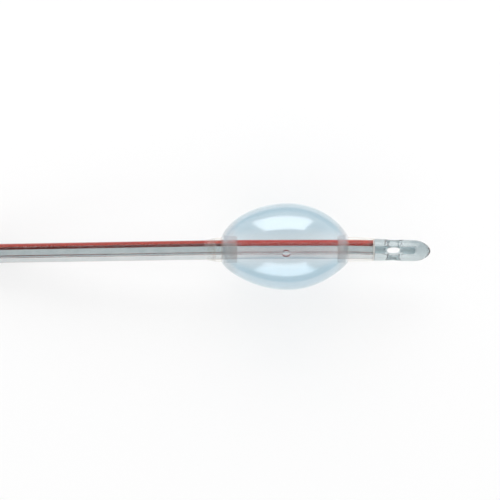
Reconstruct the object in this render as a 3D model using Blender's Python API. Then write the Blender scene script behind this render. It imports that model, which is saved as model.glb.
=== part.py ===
# Two-way silicone urinary catheter with its retention balloon inflated, lying at rest.
#
# X runs along the catheter with the tip at +X, Z is up and the floor is Z = 0.
# A station is a distance along the catheter from the balloon's middle, positive towards the tip.
# Across the catheter, angles turn from +Y (side) towards +Z (up).

import math

import bmesh
import bpy
from mathutils import Matrix, Vector

MM = 0.001

# Whole catheter
CATHETER_LENGTH = 400.0 * MM  # nose of the tip to mouth of the drainage funnel
BOND_GAP = 0.1 * MM           # between glued or moulded-on pieces
RUNNING_GAP = 0.2 * MM        # round the valve's moving stem

# Shaft, extruded with two lumens and a slot for the stripe
SHAFT_OD = 6.0 * MM
DRAIN_LUMEN_D = 2.2 * MM
INFLATION_LUMEN_D = 0.8 * MM
INFLATION_LUMEN_OUT = 2.05 * MM  # from the shaft's axis
INFLATION_LUMEN_ANGLE = math.radians(120.0)
INFLATION_HOLE_LENGTH = 2.4 * MM
INFLATION_HOLE_WIDTH = 2.1 * MM
INFLATION_HOLE_STATION = 0.4 * MM
STRIPE_WIDTH = 2.2 * MM
STRIPE_THICKNESS = 1.1 * MM
STRIPE_OUT = 2.05 * MM  # from the shaft's axis to the stripe's middle
STRIPE_ANGLE = math.radians(28.0)
LUMEN_PLUG_LENGTH = 3.0 * MM

# How the shaft lies
DROOP_START = -26.0 * MM  # station where the shaft starts down from the balloon
DROOP_LENGTH = 89.0 * MM
RISE_LENGTH = 50.0 * MM   # stretch that lifts off the floor towards the funnel
BALLOON_BEND = math.radians(-0.81)  # sideways turn where the shaft meets the balloon
BALLOON_BEND_START = -24.5 * MM
BALLOON_BEND_LENGTH = 12.4 * MM
TIP_BEND = math.radians(-1.55)      # and on the tip's side of the balloon
TIP_BEND_START = 15.7 * MM
TIP_BEND_LENGTH = 11.5 * MM

# Balloon sleeve
BALLOON_DIAMETER = 26.84 * MM
BALLOON_LENGTH = 39.15 * MM
BALLOON_WIDEST = 1.1 * MM     # station of the widest section
BALLOON_LEAN = 0.87 * MM      # the bulge sits this far to one side of the shaft
BALLOON_WALL = 0.3 * MM
BALLOON_FULLNESS_PROXIMAL = 0.70
BALLOON_FULLNESS_DISTAL = 0.80
ROOT_WALL = 0.9 * MM          # thick root of the membrane, inside the bulge
ROOT_LENGTH_PROXIMAL = 4.8 * MM
ROOT_LENGTH_DISTAL = 3.2 * MM
CUFF_WALL_PROXIMAL = 0.57 * MM
CUFF_LENGTH_PROXIMAL = 1.7 * MM
CUFF_WALL_DISTAL = 0.65 * MM  # beside the bulge
CUFF_WALL_SEAM = 0.49 * MM    # at the seam with the tip
CUFF_LENGTH_DISTAL = 7.6 * MM
BOND_CONE_LENGTH = 3.5 * MM
BOND_CONE_EDGE = 0.12 * MM    # thickness where the adhesive runs out

# Tip
TIP_LENGTH = 17.4 * MM
TIP_SWELL = 0.28 * MM         # the tip's wall stands this far outside the shaft's
TIP_SHOULDER = 0.155 * MM     # and this much more at the seam
TIP_SHOULDER_LENGTH = 5.5 * MM
NOSE_LENGTH = 5.7 * MM
NOSE_POWER = 2.2
NOSE_BLUNTNESS = 0.6
TIP_BORE_D = 2.3 * MM
TIP_BORE_DEPTH = 13.0 * MM
TIP_BOND_THICKNESS = 0.3 * MM
EYE_LENGTH = 5.9 * MM         # at the tip's outside
EYE_INNER_LENGTH = 4.1 * MM   # at the bore
EYE_FLARE_START = 1.5 * MM    # from the tip's axis
EYE_WIDTH = 2.45 * MM
EYE_FROM_SEAM = 5.9 * MM
EYE_TWIST = math.radians(7.5)

# Funnel, moulded over the shaft's proximal end; distances run from its sleeve's end to the mouth
FUNNEL_LENGTH = 75.0 * MM
SLEEVE_WALL = 0.8 * MM
HUB_OD = 9.0 * MM
HUB_START = 12.0 * MM
HUB_END = 29.0 * MM
SHAFT_INSERT = 24.0 * MM
GALLERY_START = 13.5 * MM     # ring-shaped space that feeds the inflation lumen
GALLERY_LENGTH = 6.0 * MM
GALLERY_DEPTH = 0.4 * MM
THROAT_D = 2.7 * MM
CUP_START = 42.0 * MM         # where the drainage bore becomes the connector's seat
CUP_D = 6.6 * MM
MOUTH_BORE_D = 9.5 * MM
FUNNEL_NECK_OD = 9.8 * MM
FUNNEL_END_OD = 12.5 * MM
FUNNEL_NECK_AT = 37.0 * MM
RIM_OD = 14.0 * MM
RIM_WIDTH = 3.0 * MM
RIM_ROUND = 0.5 * MM
GRIP_RINGS = 4
GRIP_HEIGHT = 0.35 * MM
GRIP_WIDTH = 1.4 * MM
GRIP_PITCH = 4.0 * MM
GRIP_START = 50.0 * MM

# Inflation arm; distances run from the point where its axis meets the funnel's
ARM_ANGLE = math.radians(24.0)
ARM_FROM_SLEEVE = 9.0 * MM
ARM_OD = 6.8 * MM
ARM_BORE_D = 2.0 * MM
ARM_LENGTH = 44.0 * MM
SOCKET_OD = 8.6 * MM
SOCKET_DEPTH = 14.0 * MM
WEB_THICKNESS = 2.4 * MM
WEB_REACH = 36.0 * MM         # from the sleeve's end
WEB_NOTCH = 2.5 * MM          # depth of the hollow in its free edge
WEB_NOTCH_WIDTH = 6.4 * MM

# Inflation valve, along the arm's axis
TAIL_OD = 6.0 * MM
BARB_HEIGHT = 0.25 * MM
BARBS = 3
FLANGE_OD = 9.2 * MM
FLANGE_THICKNESS = 1.8 * MM
CHAMBER_D = 4.6 * MM
CHAMBER_FLOOR = 2.7 * MM
TAIL_BORE_D = 1.6 * MM
COLLAR_LENGTH = 4.0 * MM
INLET_OD = 6.6 * MM
INLET_LENGTH = 10.0 * MM
SPIGOT_LENGTH = 3.0 * MM
LUER_MOUTH_D = 4.3 * MM
LUER_DEPTH = 8.0 * MM
LUER_TAPER = 0.06
LUG_HEIGHT = 0.6 * MM
LUG_WIDTH = 1.8 * MM
LUG_ANGLE = math.radians(60.0)
STEM_TRAVEL = 2.0 * MM
STEM_HEAD_D = 3.8 * MM
STEM_HEAD_THICKNESS = 1.4 * MM
STEM_PIN_D = 2.2 * MM
STEM_RIB = 0.7 * MM
SYRINGE_REACH = 5.8 * MM      # how far a syringe's tip goes into the Luer socket
STEM_GUIDE_D = 1.6 * MM
STEM_GUIDE_LENGTH = 3.6 * MM
SEAL_THICKNESS = 1.0 * MM
SEAL_OD = 3.6 * MM
SPRING_WIRE = 0.3 * MM
SPRING_D = 2.8 * MM           # mean coil diameter
SPRING_COILS = 8

# Small edges and shares
SLEEVE_EDGE = 0.3 * MM
SOCKET_EDGE = 0.4 * MM
TAIL_EDGE = 0.3 * MM
INLET_EDGE = 0.25 * MM
GUIDE_EDGE = 0.2 * MM
SEAL_EDGE = 0.2 * MM
STEM_ROOT = 0.1 * MM          # cone that closes the head under the pin
BARB_CREST = 0.7              # share of the pitch at which a barb is highest
BARB_FOOT = 0.8               # and at which it has fallen back
CLOSED_COIL = 1.2             # pitch of the end coils, in wire thicknesses
SHOULDER_FALL = 0.35          # share of the tip's shoulder left halfway along it
ROOT_CORNER = 0.1             # of the wall, between the membrane's inside and its root

# Modelling steps
CUT_OVER = 1.0 * MM           # how far a cutter runs past the surface it opens
AXIS_STEP = 0.05 * MM
STATION_GAP = 2.0 * MM
MARKER_SIZE = 5.0 * MM
ROUND_SEGMENTS = 32
SHAFT_SEGMENTS = 28
BORE_SEGMENTS = 16
EYE_SEGMENTS = 16
STRIPE_SEGMENTS = 12
LUMEN_SEGMENTS = 8
COIL_SEGMENTS = 12
NOTCH_SEGMENTS = 10
DROOP_STEPS = 10
RISE_STEPS = 5
BEND_STEPS = 3
STRAIGHT_STEPS = 6
BULGE_STEPS = 9               # on each side of the widest section
NOSE_STEPS = 8
BORE_END_STEPS = 5
LUG_STEPS = 6
TILT_ROUNDS = 12
SMOOTH_ANGLE = math.radians(38.0)

# Stations worked out from the sizes above
BALLOON_PROXIMAL = -BALLOON_LENGTH / 2
BALLOON_DISTAL = BALLOON_LENGTH / 2
SHAFT_DISTAL = BALLOON_DISTAL + CUFF_LENGTH_DISTAL
TIP_SEAM = SHAFT_DISTAL + 2 * BOND_GAP + TIP_BOND_THICKNESS
NOSE = TIP_SEAM + TIP_LENGTH
MOUTH = NOSE - CATHETER_LENGTH
FUNNEL_SLEEVE = MOUTH + FUNNEL_LENGTH
SHAFT_PROXIMAL = FUNNEL_SLEEVE - SHAFT_INSERT
RISE_START = FUNNEL_SLEEVE + RISE_LENGTH
GALLERY_HOLE = FUNNEL_SLEEVE - GALLERY_START - GALLERY_LENGTH / 2

SEAT_BORE_D = STEM_PIN_D + 2 * RUNNING_GAP
STEM_REACH = LUER_DEPTH - SYRINGE_REACH + STEM_TRAVEL  # of the pin into the Luer socket
SHAFT_R = SHAFT_OD / 2
BALLOON_R = BALLOON_DIAMETER / 2
FLANGE_AT = ARM_LENGTH + BOND_GAP
VALVE_MOUTH = FLANGE_AT + FLANGE_THICKNESS + COLLAR_LENGTH + BOND_GAP + INLET_LENGTH


def funnel_tilt():
    # The rim's near corner rests on the floor, so the funnel rises towards its mouth.
    contact = FUNNEL_LENGTH - RIM_WIDTH + RIM_ROUND
    tilt = 0.0
    for _ in range(TILT_ROUNDS):
        lift = RIM_OD / 2 - SHAFT_R / math.cos(tilt)
        tilt = math.atan(lift / (RISE_LENGTH / (2 * math.cos(tilt)) + contact))
    return tilt


FUNNEL_TILT = funnel_tilt()
SLEEVE_HEIGHT = SHAFT_R + math.tan(FUNNEL_TILT) * RISE_LENGTH / 2
ARM_HEIGHT = SLEEVE_HEIGHT + ARM_FROM_SLEEVE * math.sin(FUNNEL_TILT)
ARM_LIFT = math.asin((FLANGE_OD / 2 - ARM_HEIGHT) / FLANGE_AT)

# The frame's origin is under the middle of the whole part, its bends at the balloon left out.
REACH_SIDE = BALLOON_R + BALLOON_LEAN
REACH_ARM = VALVE_MOUTH * math.sin(ARM_ANGLE) + (INLET_OD / 2 + LUG_HEIGHT) * math.cos(ARM_ANGLE)
ORIGIN = Vector((-(NOSE + MOUTH) / 2, (REACH_ARM - REACH_SIDE) / 2, 0.0))


def ease(t):
    t = min(max(t, 0.0), 1.0)
    return t * t * t * (t * (6 * t - 15) + 10)


def axis_height(s):
    if s < RISE_START:
        run = RISE_START - s
        bent = min(run, RISE_LENGTH)
        slope = math.tan(FUNNEL_TILT)
        return SHAFT_R + slope * bent * bent / (2 * RISE_LENGTH) + slope * (run - bent)
    drop = ease((DROOP_START - s) / DROOP_LENGTH)
    return BALLOON_R + (SHAFT_R - BALLOON_R) * drop


def bend_offset(s, start, length, turn):
    # The heading turns evenly over the bend, so the offset is a parabola and then a straight line.
    run = max(s - start, 0.0)
    bent = min(run, length)
    slope = math.tan(turn)
    return slope * bent * bent / (2 * length) + slope * (run - bent)


def axis_side(s):
    side = bend_offset(s, BALLOON_BEND_START, BALLOON_BEND_LENGTH, BALLOON_BEND)
    return side + bend_offset(s, TIP_BEND_START, TIP_BEND_LENGTH, TIP_BEND)


def axis_point(s):
    return ORIGIN + Vector((s, axis_side(s), axis_height(s)))


def axis_frame(s):
    # Matrix whose X is the axis towards the tip, Y the side and Z the upward direction.
    along = (axis_point(s + AXIS_STEP) - axis_point(s - AXIS_STEP)).normalized()
    side = Vector((0, 0, 1)).cross(along).normalized()
    up = along.cross(side)
    turn = Matrix((along, side, up)).transposed()
    return Matrix.Translation(axis_point(s)) @ turn.to_4x4()


def shaft_stations(start, end):
    # Close together on the bends and about 20 mm apart where the shaft is straight.
    marks = [start, end, RISE_START, RISE_START - RISE_LENGTH, DROOP_START - DROOP_LENGTH, DROOP_START]
    marks += [DROOP_START - DROOP_LENGTH * k / DROOP_STEPS for k in range(1, DROOP_STEPS)]
    marks += [RISE_START - RISE_LENGTH * k / RISE_STEPS for k in range(1, RISE_STEPS)]
    for k in range(BEND_STEPS + 1):
        marks.append(BALLOON_BEND_START + BALLOON_BEND_LENGTH * k / BEND_STEPS)
        marks.append(TIP_BEND_START + TIP_BEND_LENGTH * k / BEND_STEPS)
    straight = DROOP_START - DROOP_LENGTH - RISE_START
    marks += [RISE_START + straight * k / STRAIGHT_STEPS for k in range(1, STRAIGHT_STEPS)]
    inside = sorted(m for m in marks if start <= m <= end)
    kept = inside[:1]
    for mark in inside[1:]:
        if mark - kept[-1] > STATION_GAP:
            kept.append(mark)
        elif mark == end:
            kept[-1] = end
    return kept


def ellipse(out, angle, half_across, half_radial, count):
    # Outline of a lumen or rod, placed out from the axis at an angle; (side, up) pairs.
    points = []
    for k in range(count):
        a = 2 * math.pi * k / count
        radial = out + half_radial * math.cos(a)
        across = half_across * math.sin(a)
        points.append(
            (
                radial * math.cos(angle) - across * math.sin(angle),
                radial * math.sin(angle) + across * math.cos(angle),
            )
        )
    return points


def circle(radius, count):
    return ellipse(0.0, 0.0, radius, radius, count)


def sweep(outlines, stations):
    # Sweeps one outer outline and any number of lumens along the catheter's axis.
    # The ends are filled at a thousand times the size, where the fill's own tolerance is small.
    bm = bmesh.new()
    ends = [[], []]
    enlarge = Matrix.Scale(1 / MM, 4)
    for outline in outlines:
        rings = []
        for s in stations:
            frame = enlarge @ axis_frame(s)
            rings.append([bm.verts.new(frame @ Vector((0.0, side, up))) for side, up in outline])
        for low, high in zip(rings, rings[1:]):
            for k in range(len(outline)):
                n = (k + 1) % len(outline)
                bm.faces.new((low[k], high[k], high[n], low[n]))
        for end, ring in zip(ends, (rings[0], rings[-1])):
            for k in range(len(ring)):
                end.append(bm.edges.get((ring[k], ring[(k + 1) % len(ring)])))
    for end in ends:
        bmesh.ops.triangle_fill(bm, use_beauty=True, edges=end)
    bmesh.ops.scale(bm, verts=bm.verts, vec=(MM, MM, MM))
    bmesh.ops.recalc_face_normals(bm, faces=bm.faces)
    return bm


def revolve(profile, segments, closed=False):
    # Turns an (x, radius) profile about X. An open profile starts and ends on the axis.
    bm = bmesh.new()
    verts = [bm.verts.new((x, radius, 0.0)) for x, radius in profile]
    pairs = list(zip(verts, verts[1:]))
    if closed:
        pairs.append((verts[-1], verts[0]))
    edges = [bm.edges.new(pair) for pair in pairs]
    bmesh.ops.spin(
        bm,
        geom=verts + edges,
        cent=(0, 0, 0),
        axis=(1, 0, 0),
        angle=2 * math.pi,
        steps=segments,
        use_merge=True,
    )
    bmesh.ops.remove_doubles(bm, verts=bm.verts, dist=0.001 * MM)
    bmesh.ops.recalc_face_normals(bm, faces=bm.faces)
    return bm


def make_material(name, colour, roughness, metallic=0.0, alpha=1.0):
    material = bpy.data.materials.new(name)
    material.use_nodes = True
    shader = material.node_tree.nodes["Principled BSDF"]
    shader.inputs["Base Color"].default_value = (*colour, 1.0)
    shader.inputs["Roughness"].default_value = roughness
    shader.inputs["Metallic"].default_value = metallic
    shader.inputs["Alpha"].default_value = alpha
    return material


def make_object(name, bm, material=None, parent=None):
    mesh = bpy.data.meshes.new(name)
    bm.to_mesh(mesh)
    bm.free()
    mesh.shade_smooth()
    mesh.set_sharp_from_angle(angle=SMOOTH_ANGLE)
    obj = bpy.data.objects.new(name, mesh)
    bpy.context.scene.collection.objects.link(obj)
    if material:
        mesh.materials.append(material)
    if parent:
        obj.parent = parent
    return obj


def make_empty(name, matrix):
    empty = bpy.data.objects.new(name, None)
    empty.empty_display_size = MARKER_SIZE
    bpy.context.scene.collection.objects.link(empty)
    empty.matrix_world = matrix
    return empty


def make_tool(name, bm, parent=None):
    # A shape that is only joined to or cut from another object.
    tool = make_object(name, bm, parent=parent)
    tool.hide_render = True
    tool.display_type = "WIRE"
    return tool


def combine(obj, tool, operation):
    modifier = obj.modifiers.new(operation.lower() + "_" + tool.name, "BOOLEAN")
    modifier.object = tool
    modifier.operation = operation
    modifier.solver = "EXACT"


def make_shaft(material):
    slot_half = STRIPE_WIDTH / 2 + BOND_GAP
    slot_depth = STRIPE_THICKNESS / 2 + BOND_GAP
    lumen_r = INFLATION_LUMEN_D / 2
    outlines = [
        circle(SHAFT_R, SHAFT_SEGMENTS),
        circle(DRAIN_LUMEN_D / 2, BORE_SEGMENTS),
        ellipse(INFLATION_LUMEN_OUT, INFLATION_LUMEN_ANGLE, lumen_r, lumen_r, LUMEN_SEGMENTS),
        ellipse(STRIPE_OUT, STRIPE_ANGLE, slot_half, slot_depth, STRIPE_SEGMENTS),
    ]
    shaft = make_object("shaft", sweep(outlines, shaft_stations(SHAFT_PROXIMAL, SHAFT_DISTAL)), material)
    for name, station in (("balloon_hole", INFLATION_HOLE_STATION), ("gallery_hole", GALLERY_HOLE)):
        bm = bmesh.new()
        bmesh.ops.create_cone(
            bm,
            cap_ends=True,
            segments=BORE_SEGMENTS,
            radius1=0.5,
            radius2=0.5,
            depth=SHAFT_R,
        )
        bmesh.ops.scale(bm, verts=bm.verts, vec=(INFLATION_HOLE_LENGTH, INFLATION_HOLE_WIDTH, 1.0))
        bmesh.ops.translate(bm, verts=bm.verts, vec=(0, 0, INFLATION_LUMEN_OUT + SHAFT_R / 2))
        hole = make_tool(name, bm)
        turn = INFLATION_LUMEN_ANGLE - math.pi / 2
        hole.matrix_world = axis_frame(station) @ Matrix.Rotation(turn, 4, "X")
        combine(shaft, hole, "DIFFERENCE")
    return shaft


def make_stripe(material):
    outline = ellipse(STRIPE_OUT, STRIPE_ANGLE, STRIPE_WIDTH / 2, STRIPE_THICKNESS / 2, STRIPE_SEGMENTS)
    return make_object(
        "radiopaque_stripe", sweep([outline], shaft_stations(SHAFT_PROXIMAL, SHAFT_DISTAL)), material
    )


def make_lumen_plug(name, start, end, material):
    radius = INFLATION_LUMEN_D / 2 - BOND_GAP
    outline = ellipse(INFLATION_LUMEN_OUT, INFLATION_LUMEN_ANGLE, radius, radius, LUMEN_SEGMENTS)
    return make_object(name, sweep([outline], [start, (start + end) / 2, end]), material)


def bulge_radius(s):
    # The inflated membrane: fuller on the proximal side, more pointed towards the tip.
    if s < BALLOON_WIDEST:
        t = (BALLOON_WIDEST - s) / (BALLOON_WIDEST - BALLOON_PROXIMAL)
        end, power = SHAFT_R + BOND_GAP + CUFF_WALL_PROXIMAL, BALLOON_FULLNESS_PROXIMAL
    else:
        t = (s - BALLOON_WIDEST) / (BALLOON_DISTAL - BALLOON_WIDEST)
        end, power = SHAFT_R + BOND_GAP + CUFF_WALL_DISTAL, BALLOON_FULLNESS_DISTAL
    return end + (BALLOON_R - end) * max(1 - t * t, 0.0) ** power


def bulge_lean(s):
    t = 2 * s / BALLOON_LENGTH
    return BALLOON_LEAN * (1 - abs(t) ** 6)


def balloon_profile():
    # Closed loop of (station, radius, lean): out over the cuffs and bulge, back along the inside.
    bore = SHAFT_R + BOND_GAP
    root = bore + ROOT_WALL
    bulge = []
    for k in range(-BULGE_STEPS, BULGE_STEPS + 1):
        half = (BALLOON_DISTAL if k > 0 else -BALLOON_PROXIMAL) - math.copysign(BALLOON_WIDEST, k)
        s = BALLOON_WIDEST + half * math.sin(math.pi / 2 * k / BULGE_STEPS)
        bulge.append((s, bulge_radius(s)))
    inner = []
    for before, here, after in zip(bulge, bulge[1:], bulge[2:]):
        slope = Vector((after[0] - before[0], after[1] - before[1])).normalized()
        s = here[0] + slope.y * BALLOON_WALL
        radius = here[1] - slope.x * BALLOON_WALL
        if radius > root + BALLOON_WALL:
            inner.append((s, radius))
    start = BALLOON_PROXIMAL - CUFF_LENGTH_PROXIMAL
    end = BALLOON_DISTAL + CUFF_LENGTH_DISTAL
    root_start = BALLOON_PROXIMAL + ROOT_LENGTH_PROXIMAL
    root_end = BALLOON_DISTAL - ROOT_LENGTH_DISTAL
    loop = [(start, bore, 0.0), (start, bore + CUFF_WALL_PROXIMAL, 0.0)]
    loop += [(s, radius, bulge_lean(s)) for s, radius in bulge]
    loop += [(end, bore + CUFF_WALL_SEAM, 0.0), (end, bore, 0.0)]
    loop += [((end + root_end) / 2, bore, 0.0), (root_end, bore, 0.0), (root_end, root, 0.0)]
    loop += [(inner[-1][0] - ROOT_CORNER * BALLOON_WALL, root, 0.0)]
    loop += [(s, radius, bulge_lean(s)) for s, radius in reversed(inner)]
    loop += [(inner[0][0] + ROOT_CORNER * BALLOON_WALL, root, 0.0)]
    loop += [(root_start, root, 0.0), (root_start, bore, 0.0)]
    return loop


def make_balloon(material):
    bm = bmesh.new()
    rings = []
    for s, radius, lean in balloon_profile():
        frame = axis_frame(s)
        ring = []
        for k in range(ROUND_SEGMENTS):
            a = 2 * math.pi * k / ROUND_SEGMENTS
            ring.append(
                bm.verts.new(frame @ Vector((0.0, lean + radius * math.cos(a), radius * math.sin(a))))
            )
        rings.append(ring)
    for low, high in zip(rings, rings[1:] + rings[:1]):
        for k in range(ROUND_SEGMENTS):
            n = (k + 1) % ROUND_SEGMENTS
            bm.faces.new((low[k], low[n], high[n], high[k]))
    bmesh.ops.recalc_face_normals(bm, faces=bm.faces)
    return make_object("balloon", bm, material)


def make_proximal_bond(material):
    # Cone of adhesive that runs out along the shaft from the cuff's end.
    bore = SHAFT_R + BOND_GAP
    end = BALLOON_PROXIMAL - CUFF_LENGTH_PROXIMAL - BOND_GAP
    profile = [
        (-BOND_CONE_LENGTH, bore),
        (-BOND_CONE_LENGTH, bore + BOND_CONE_EDGE),
        (0.0, bore + CUFF_WALL_PROXIMAL),
        (0.0, bore),
    ]
    bond = make_object("proximal_bond", revolve(profile, ROUND_SEGMENTS, closed=True), material)
    bond.matrix_world = axis_frame(end)
    return bond


def eye_cutter(radius, turn):
    # Hole for a pair of eyes right through the tip, longer towards the outside.
    bm = bmesh.new()
    rings = []
    for height in (-radius - CUT_OVER, -EYE_FLARE_START, EYE_FLARE_START, radius + CUT_OVER):
        share = (abs(height) - EYE_FLARE_START) / (radius - EYE_FLARE_START)
        length = EYE_INNER_LENGTH + (EYE_LENGTH - EYE_INNER_LENGTH) * share
        ring = []
        for k in range(EYE_SEGMENTS):
            a = 2 * math.pi * k / EYE_SEGMENTS
            ring.append(bm.verts.new((length / 2 * math.cos(a), EYE_WIDTH / 2 * math.sin(a), height)))
        rings.append(ring)
    for low, high in zip(rings, rings[1:]):
        for k in range(EYE_SEGMENTS):
            n = (k + 1) % EYE_SEGMENTS
            bm.faces.new((low[k], low[n], high[n], high[k]))
    bm.faces.new(rings[0])
    bm.faces.new(rings[-1])
    bmesh.ops.recalc_face_normals(bm, faces=bm.faces)
    bmesh.ops.translate(bm, verts=bm.verts, vec=(EYE_FROM_SEAM, 0, 0))
    bmesh.ops.rotate(bm, verts=bm.verts, cent=(0, 0, 0), matrix=Matrix.Rotation(turn, 3, "X"))
    return bm


def make_tip(bond_material, tip_material):
    seat = make_empty("tip_seat", axis_frame(TIP_SEAM))
    radius = SHAFT_R + TIP_SWELL
    bore = TIP_BORE_D / 2
    back = -BOND_GAP
    ring = [
        (back, bore),
        (back, radius + TIP_SHOULDER),
        (back - TIP_BOND_THICKNESS, radius + TIP_SHOULDER),
        (back - TIP_BOND_THICKNESS, bore),
    ]
    make_object("tip_bond", revolve(ring, ROUND_SEGMENTS, closed=True), bond_material, seat)

    outside = [(0.0, 0.0), (0.0, radius + TIP_SHOULDER)]
    outside.append((TIP_SHOULDER_LENGTH / 2, radius + TIP_SHOULDER * SHOULDER_FALL))
    outside.append((TIP_SHOULDER_LENGTH, radius))
    for k in range(NOSE_STEPS + 1):
        t = math.sin(math.pi / 2 * k / NOSE_STEPS)
        height = radius * max(1 - t**NOSE_POWER, 0.0) ** NOSE_BLUNTNESS
        outside.append((TIP_LENGTH - NOSE_LENGTH + NOSE_LENGTH * t, height))
    tip = make_object("tip", revolve(outside, ROUND_SEGMENTS), tip_material, seat)

    hollow = [(-CUT_OVER, 0.0), (-CUT_OVER, bore)]
    for k in range(BORE_END_STEPS + 1):
        a = math.pi / 2 * k / BORE_END_STEPS
        hollow.append((TIP_BORE_DEPTH - bore + bore * math.sin(a), bore * math.cos(a)))
    combine(tip, make_tool("tip_bore", revolve(hollow, BORE_SEGMENTS), seat), "DIFFERENCE")

    for name, turn in (("eyes_front_back", EYE_TWIST), ("eyes_sides", EYE_TWIST + math.pi / 2)):
        combine(tip, make_tool(name, eye_cutter(radius, turn), seat), "DIFFERENCE")
    return tip


def funnel_outside():
    bore = SHAFT_R + BOND_GAP
    edge = bore + SLEEVE_WALL
    profile = [(0.0, 0.0), (0.0, edge - SLEEVE_EDGE), (SLEEVE_EDGE, edge)]
    profile += [(HUB_START, HUB_OD / 2), (HUB_END, HUB_OD / 2), (FUNNEL_NECK_AT, FUNNEL_NECK_OD / 2)]
    rim = FUNNEL_LENGTH - RIM_WIDTH
    slope = (FUNNEL_END_OD - FUNNEL_NECK_OD) / 2 / (rim - FUNNEL_NECK_AT)
    for k in range(GRIP_RINGS):
        low = GRIP_START + k * GRIP_PITCH
        high = low + GRIP_WIDTH
        low_r = FUNNEL_NECK_OD / 2 + slope * (low - FUNNEL_NECK_AT)
        high_r = FUNNEL_NECK_OD / 2 + slope * (high - FUNNEL_NECK_AT)
        profile += [(low, low_r), (low + GRIP_HEIGHT, low_r + GRIP_HEIGHT)]
        profile += [(high - GRIP_HEIGHT, high_r + GRIP_HEIGHT), (high, high_r)]
    profile += [(rim - RIM_ROUND, FUNNEL_END_OD / 2), (rim, RIM_OD / 2 - RIM_ROUND)]
    profile += [(rim + RIM_ROUND, RIM_OD / 2), (FUNNEL_LENGTH - RIM_ROUND, RIM_OD / 2)]
    profile += [(FUNNEL_LENGTH, RIM_OD / 2 - RIM_ROUND), (FUNNEL_LENGTH, 0.0)]
    return profile


def funnel_inside():
    bore = SHAFT_R + BOND_GAP
    gallery_end = GALLERY_START + GALLERY_LENGTH
    stop = SHAFT_INSERT + BOND_GAP
    flare = (MOUTH_BORE_D - CUP_D) / 2 / (FUNNEL_LENGTH - CUP_START)
    return [
        (-CUT_OVER, 0.0),
        (-CUT_OVER, bore),
        (GALLERY_START, bore),
        (GALLERY_START, bore + GALLERY_DEPTH),
        (gallery_end, bore + GALLERY_DEPTH),
        (gallery_end, bore),
        (stop, bore),
        (stop, THROAT_D / 2),
        (CUP_START, CUP_D / 2),
        (FUNNEL_LENGTH + CUT_OVER, MOUTH_BORE_D / 2 + flare * CUT_OVER),
        (FUNNEL_LENGTH + CUT_OVER, 0.0),
    ]


def make_web(seat):
    # Flat gusset in the crotch between the drainage funnel and the arm.
    near = HUB_START + HUB_OD / 4
    far = (WEB_REACH - ARM_FROM_SLEEVE) * math.tan(ARM_ANGLE)
    bm = bmesh.new()
    outline = [(near, 0.0), (WEB_REACH, 0.0)]
    for k in range(NOTCH_SEGMENTS + 1):
        a = math.pi * (k / NOTCH_SEGMENTS - 0.5)
        outline.append((WEB_REACH - WEB_NOTCH * math.cos(a), far / 2 + WEB_NOTCH_WIDTH / 2 * math.sin(a)))
    outline.append((WEB_REACH, far))
    face = bm.faces.new([bm.verts.new((x, y, 0.0)) for x, y in outline])
    raised = bmesh.ops.extrude_face_region(bm, geom=[face])
    top = [v for v in raised["geom"] if isinstance(v, bmesh.types.BMVert)]
    bmesh.ops.translate(bm, verts=top, vec=(0, 0, WEB_THICKNESS))
    bmesh.ops.translate(bm, verts=bm.verts, vec=(0, 0, -WEB_THICKNESS / 2))
    bmesh.ops.recalc_face_normals(bm, faces=bm.faces)
    return make_tool("crotch_web", bm, seat)


def arm_outside():
    swell = SOCKET_OD / 2 - ARM_OD / 2
    socket = ARM_LENGTH - SOCKET_DEPTH
    return [
        (0.0, 0.0),
        (0.0, ARM_OD / 2),
        (socket - 3 * swell, ARM_OD / 2),
        (socket, SOCKET_OD / 2),
        (ARM_LENGTH - SOCKET_EDGE, SOCKET_OD / 2),
        (ARM_LENGTH, SOCKET_OD / 2 - SOCKET_EDGE),
        (ARM_LENGTH, 0.0),
    ]


def arm_inside():
    start = (SHAFT_R - ARM_BORE_D / 2) / math.sin(ARM_ANGLE)
    socket = ARM_LENGTH - SOCKET_DEPTH
    tail = TAIL_OD / 2 + BOND_GAP
    return [
        (start, 0.0),
        (start, ARM_BORE_D / 2),
        (socket, ARM_BORE_D / 2),
        (socket, tail),
        (ARM_LENGTH + CUT_OVER, tail),
        (ARM_LENGTH + CUT_OVER, 0.0),
    ]


def make_funnel(funnel_seat, arm_seat, material):
    funnel = make_object("funnel", revolve(funnel_outside(), ROUND_SEGMENTS), material, funnel_seat)
    combine(funnel, make_tool("arm_outside", revolve(arm_outside(), ROUND_SEGMENTS), arm_seat), "UNION")
    combine(funnel, make_web(funnel_seat), "UNION")
    bore = make_tool("funnel_bore", revolve(funnel_inside(), ROUND_SEGMENTS), funnel_seat)
    combine(funnel, bore, "DIFFERENCE")
    combine(funnel, make_tool("arm_bore", revolve(arm_inside(), BORE_SEGMENTS), arm_seat), "DIFFERENCE")
    return funnel


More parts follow.
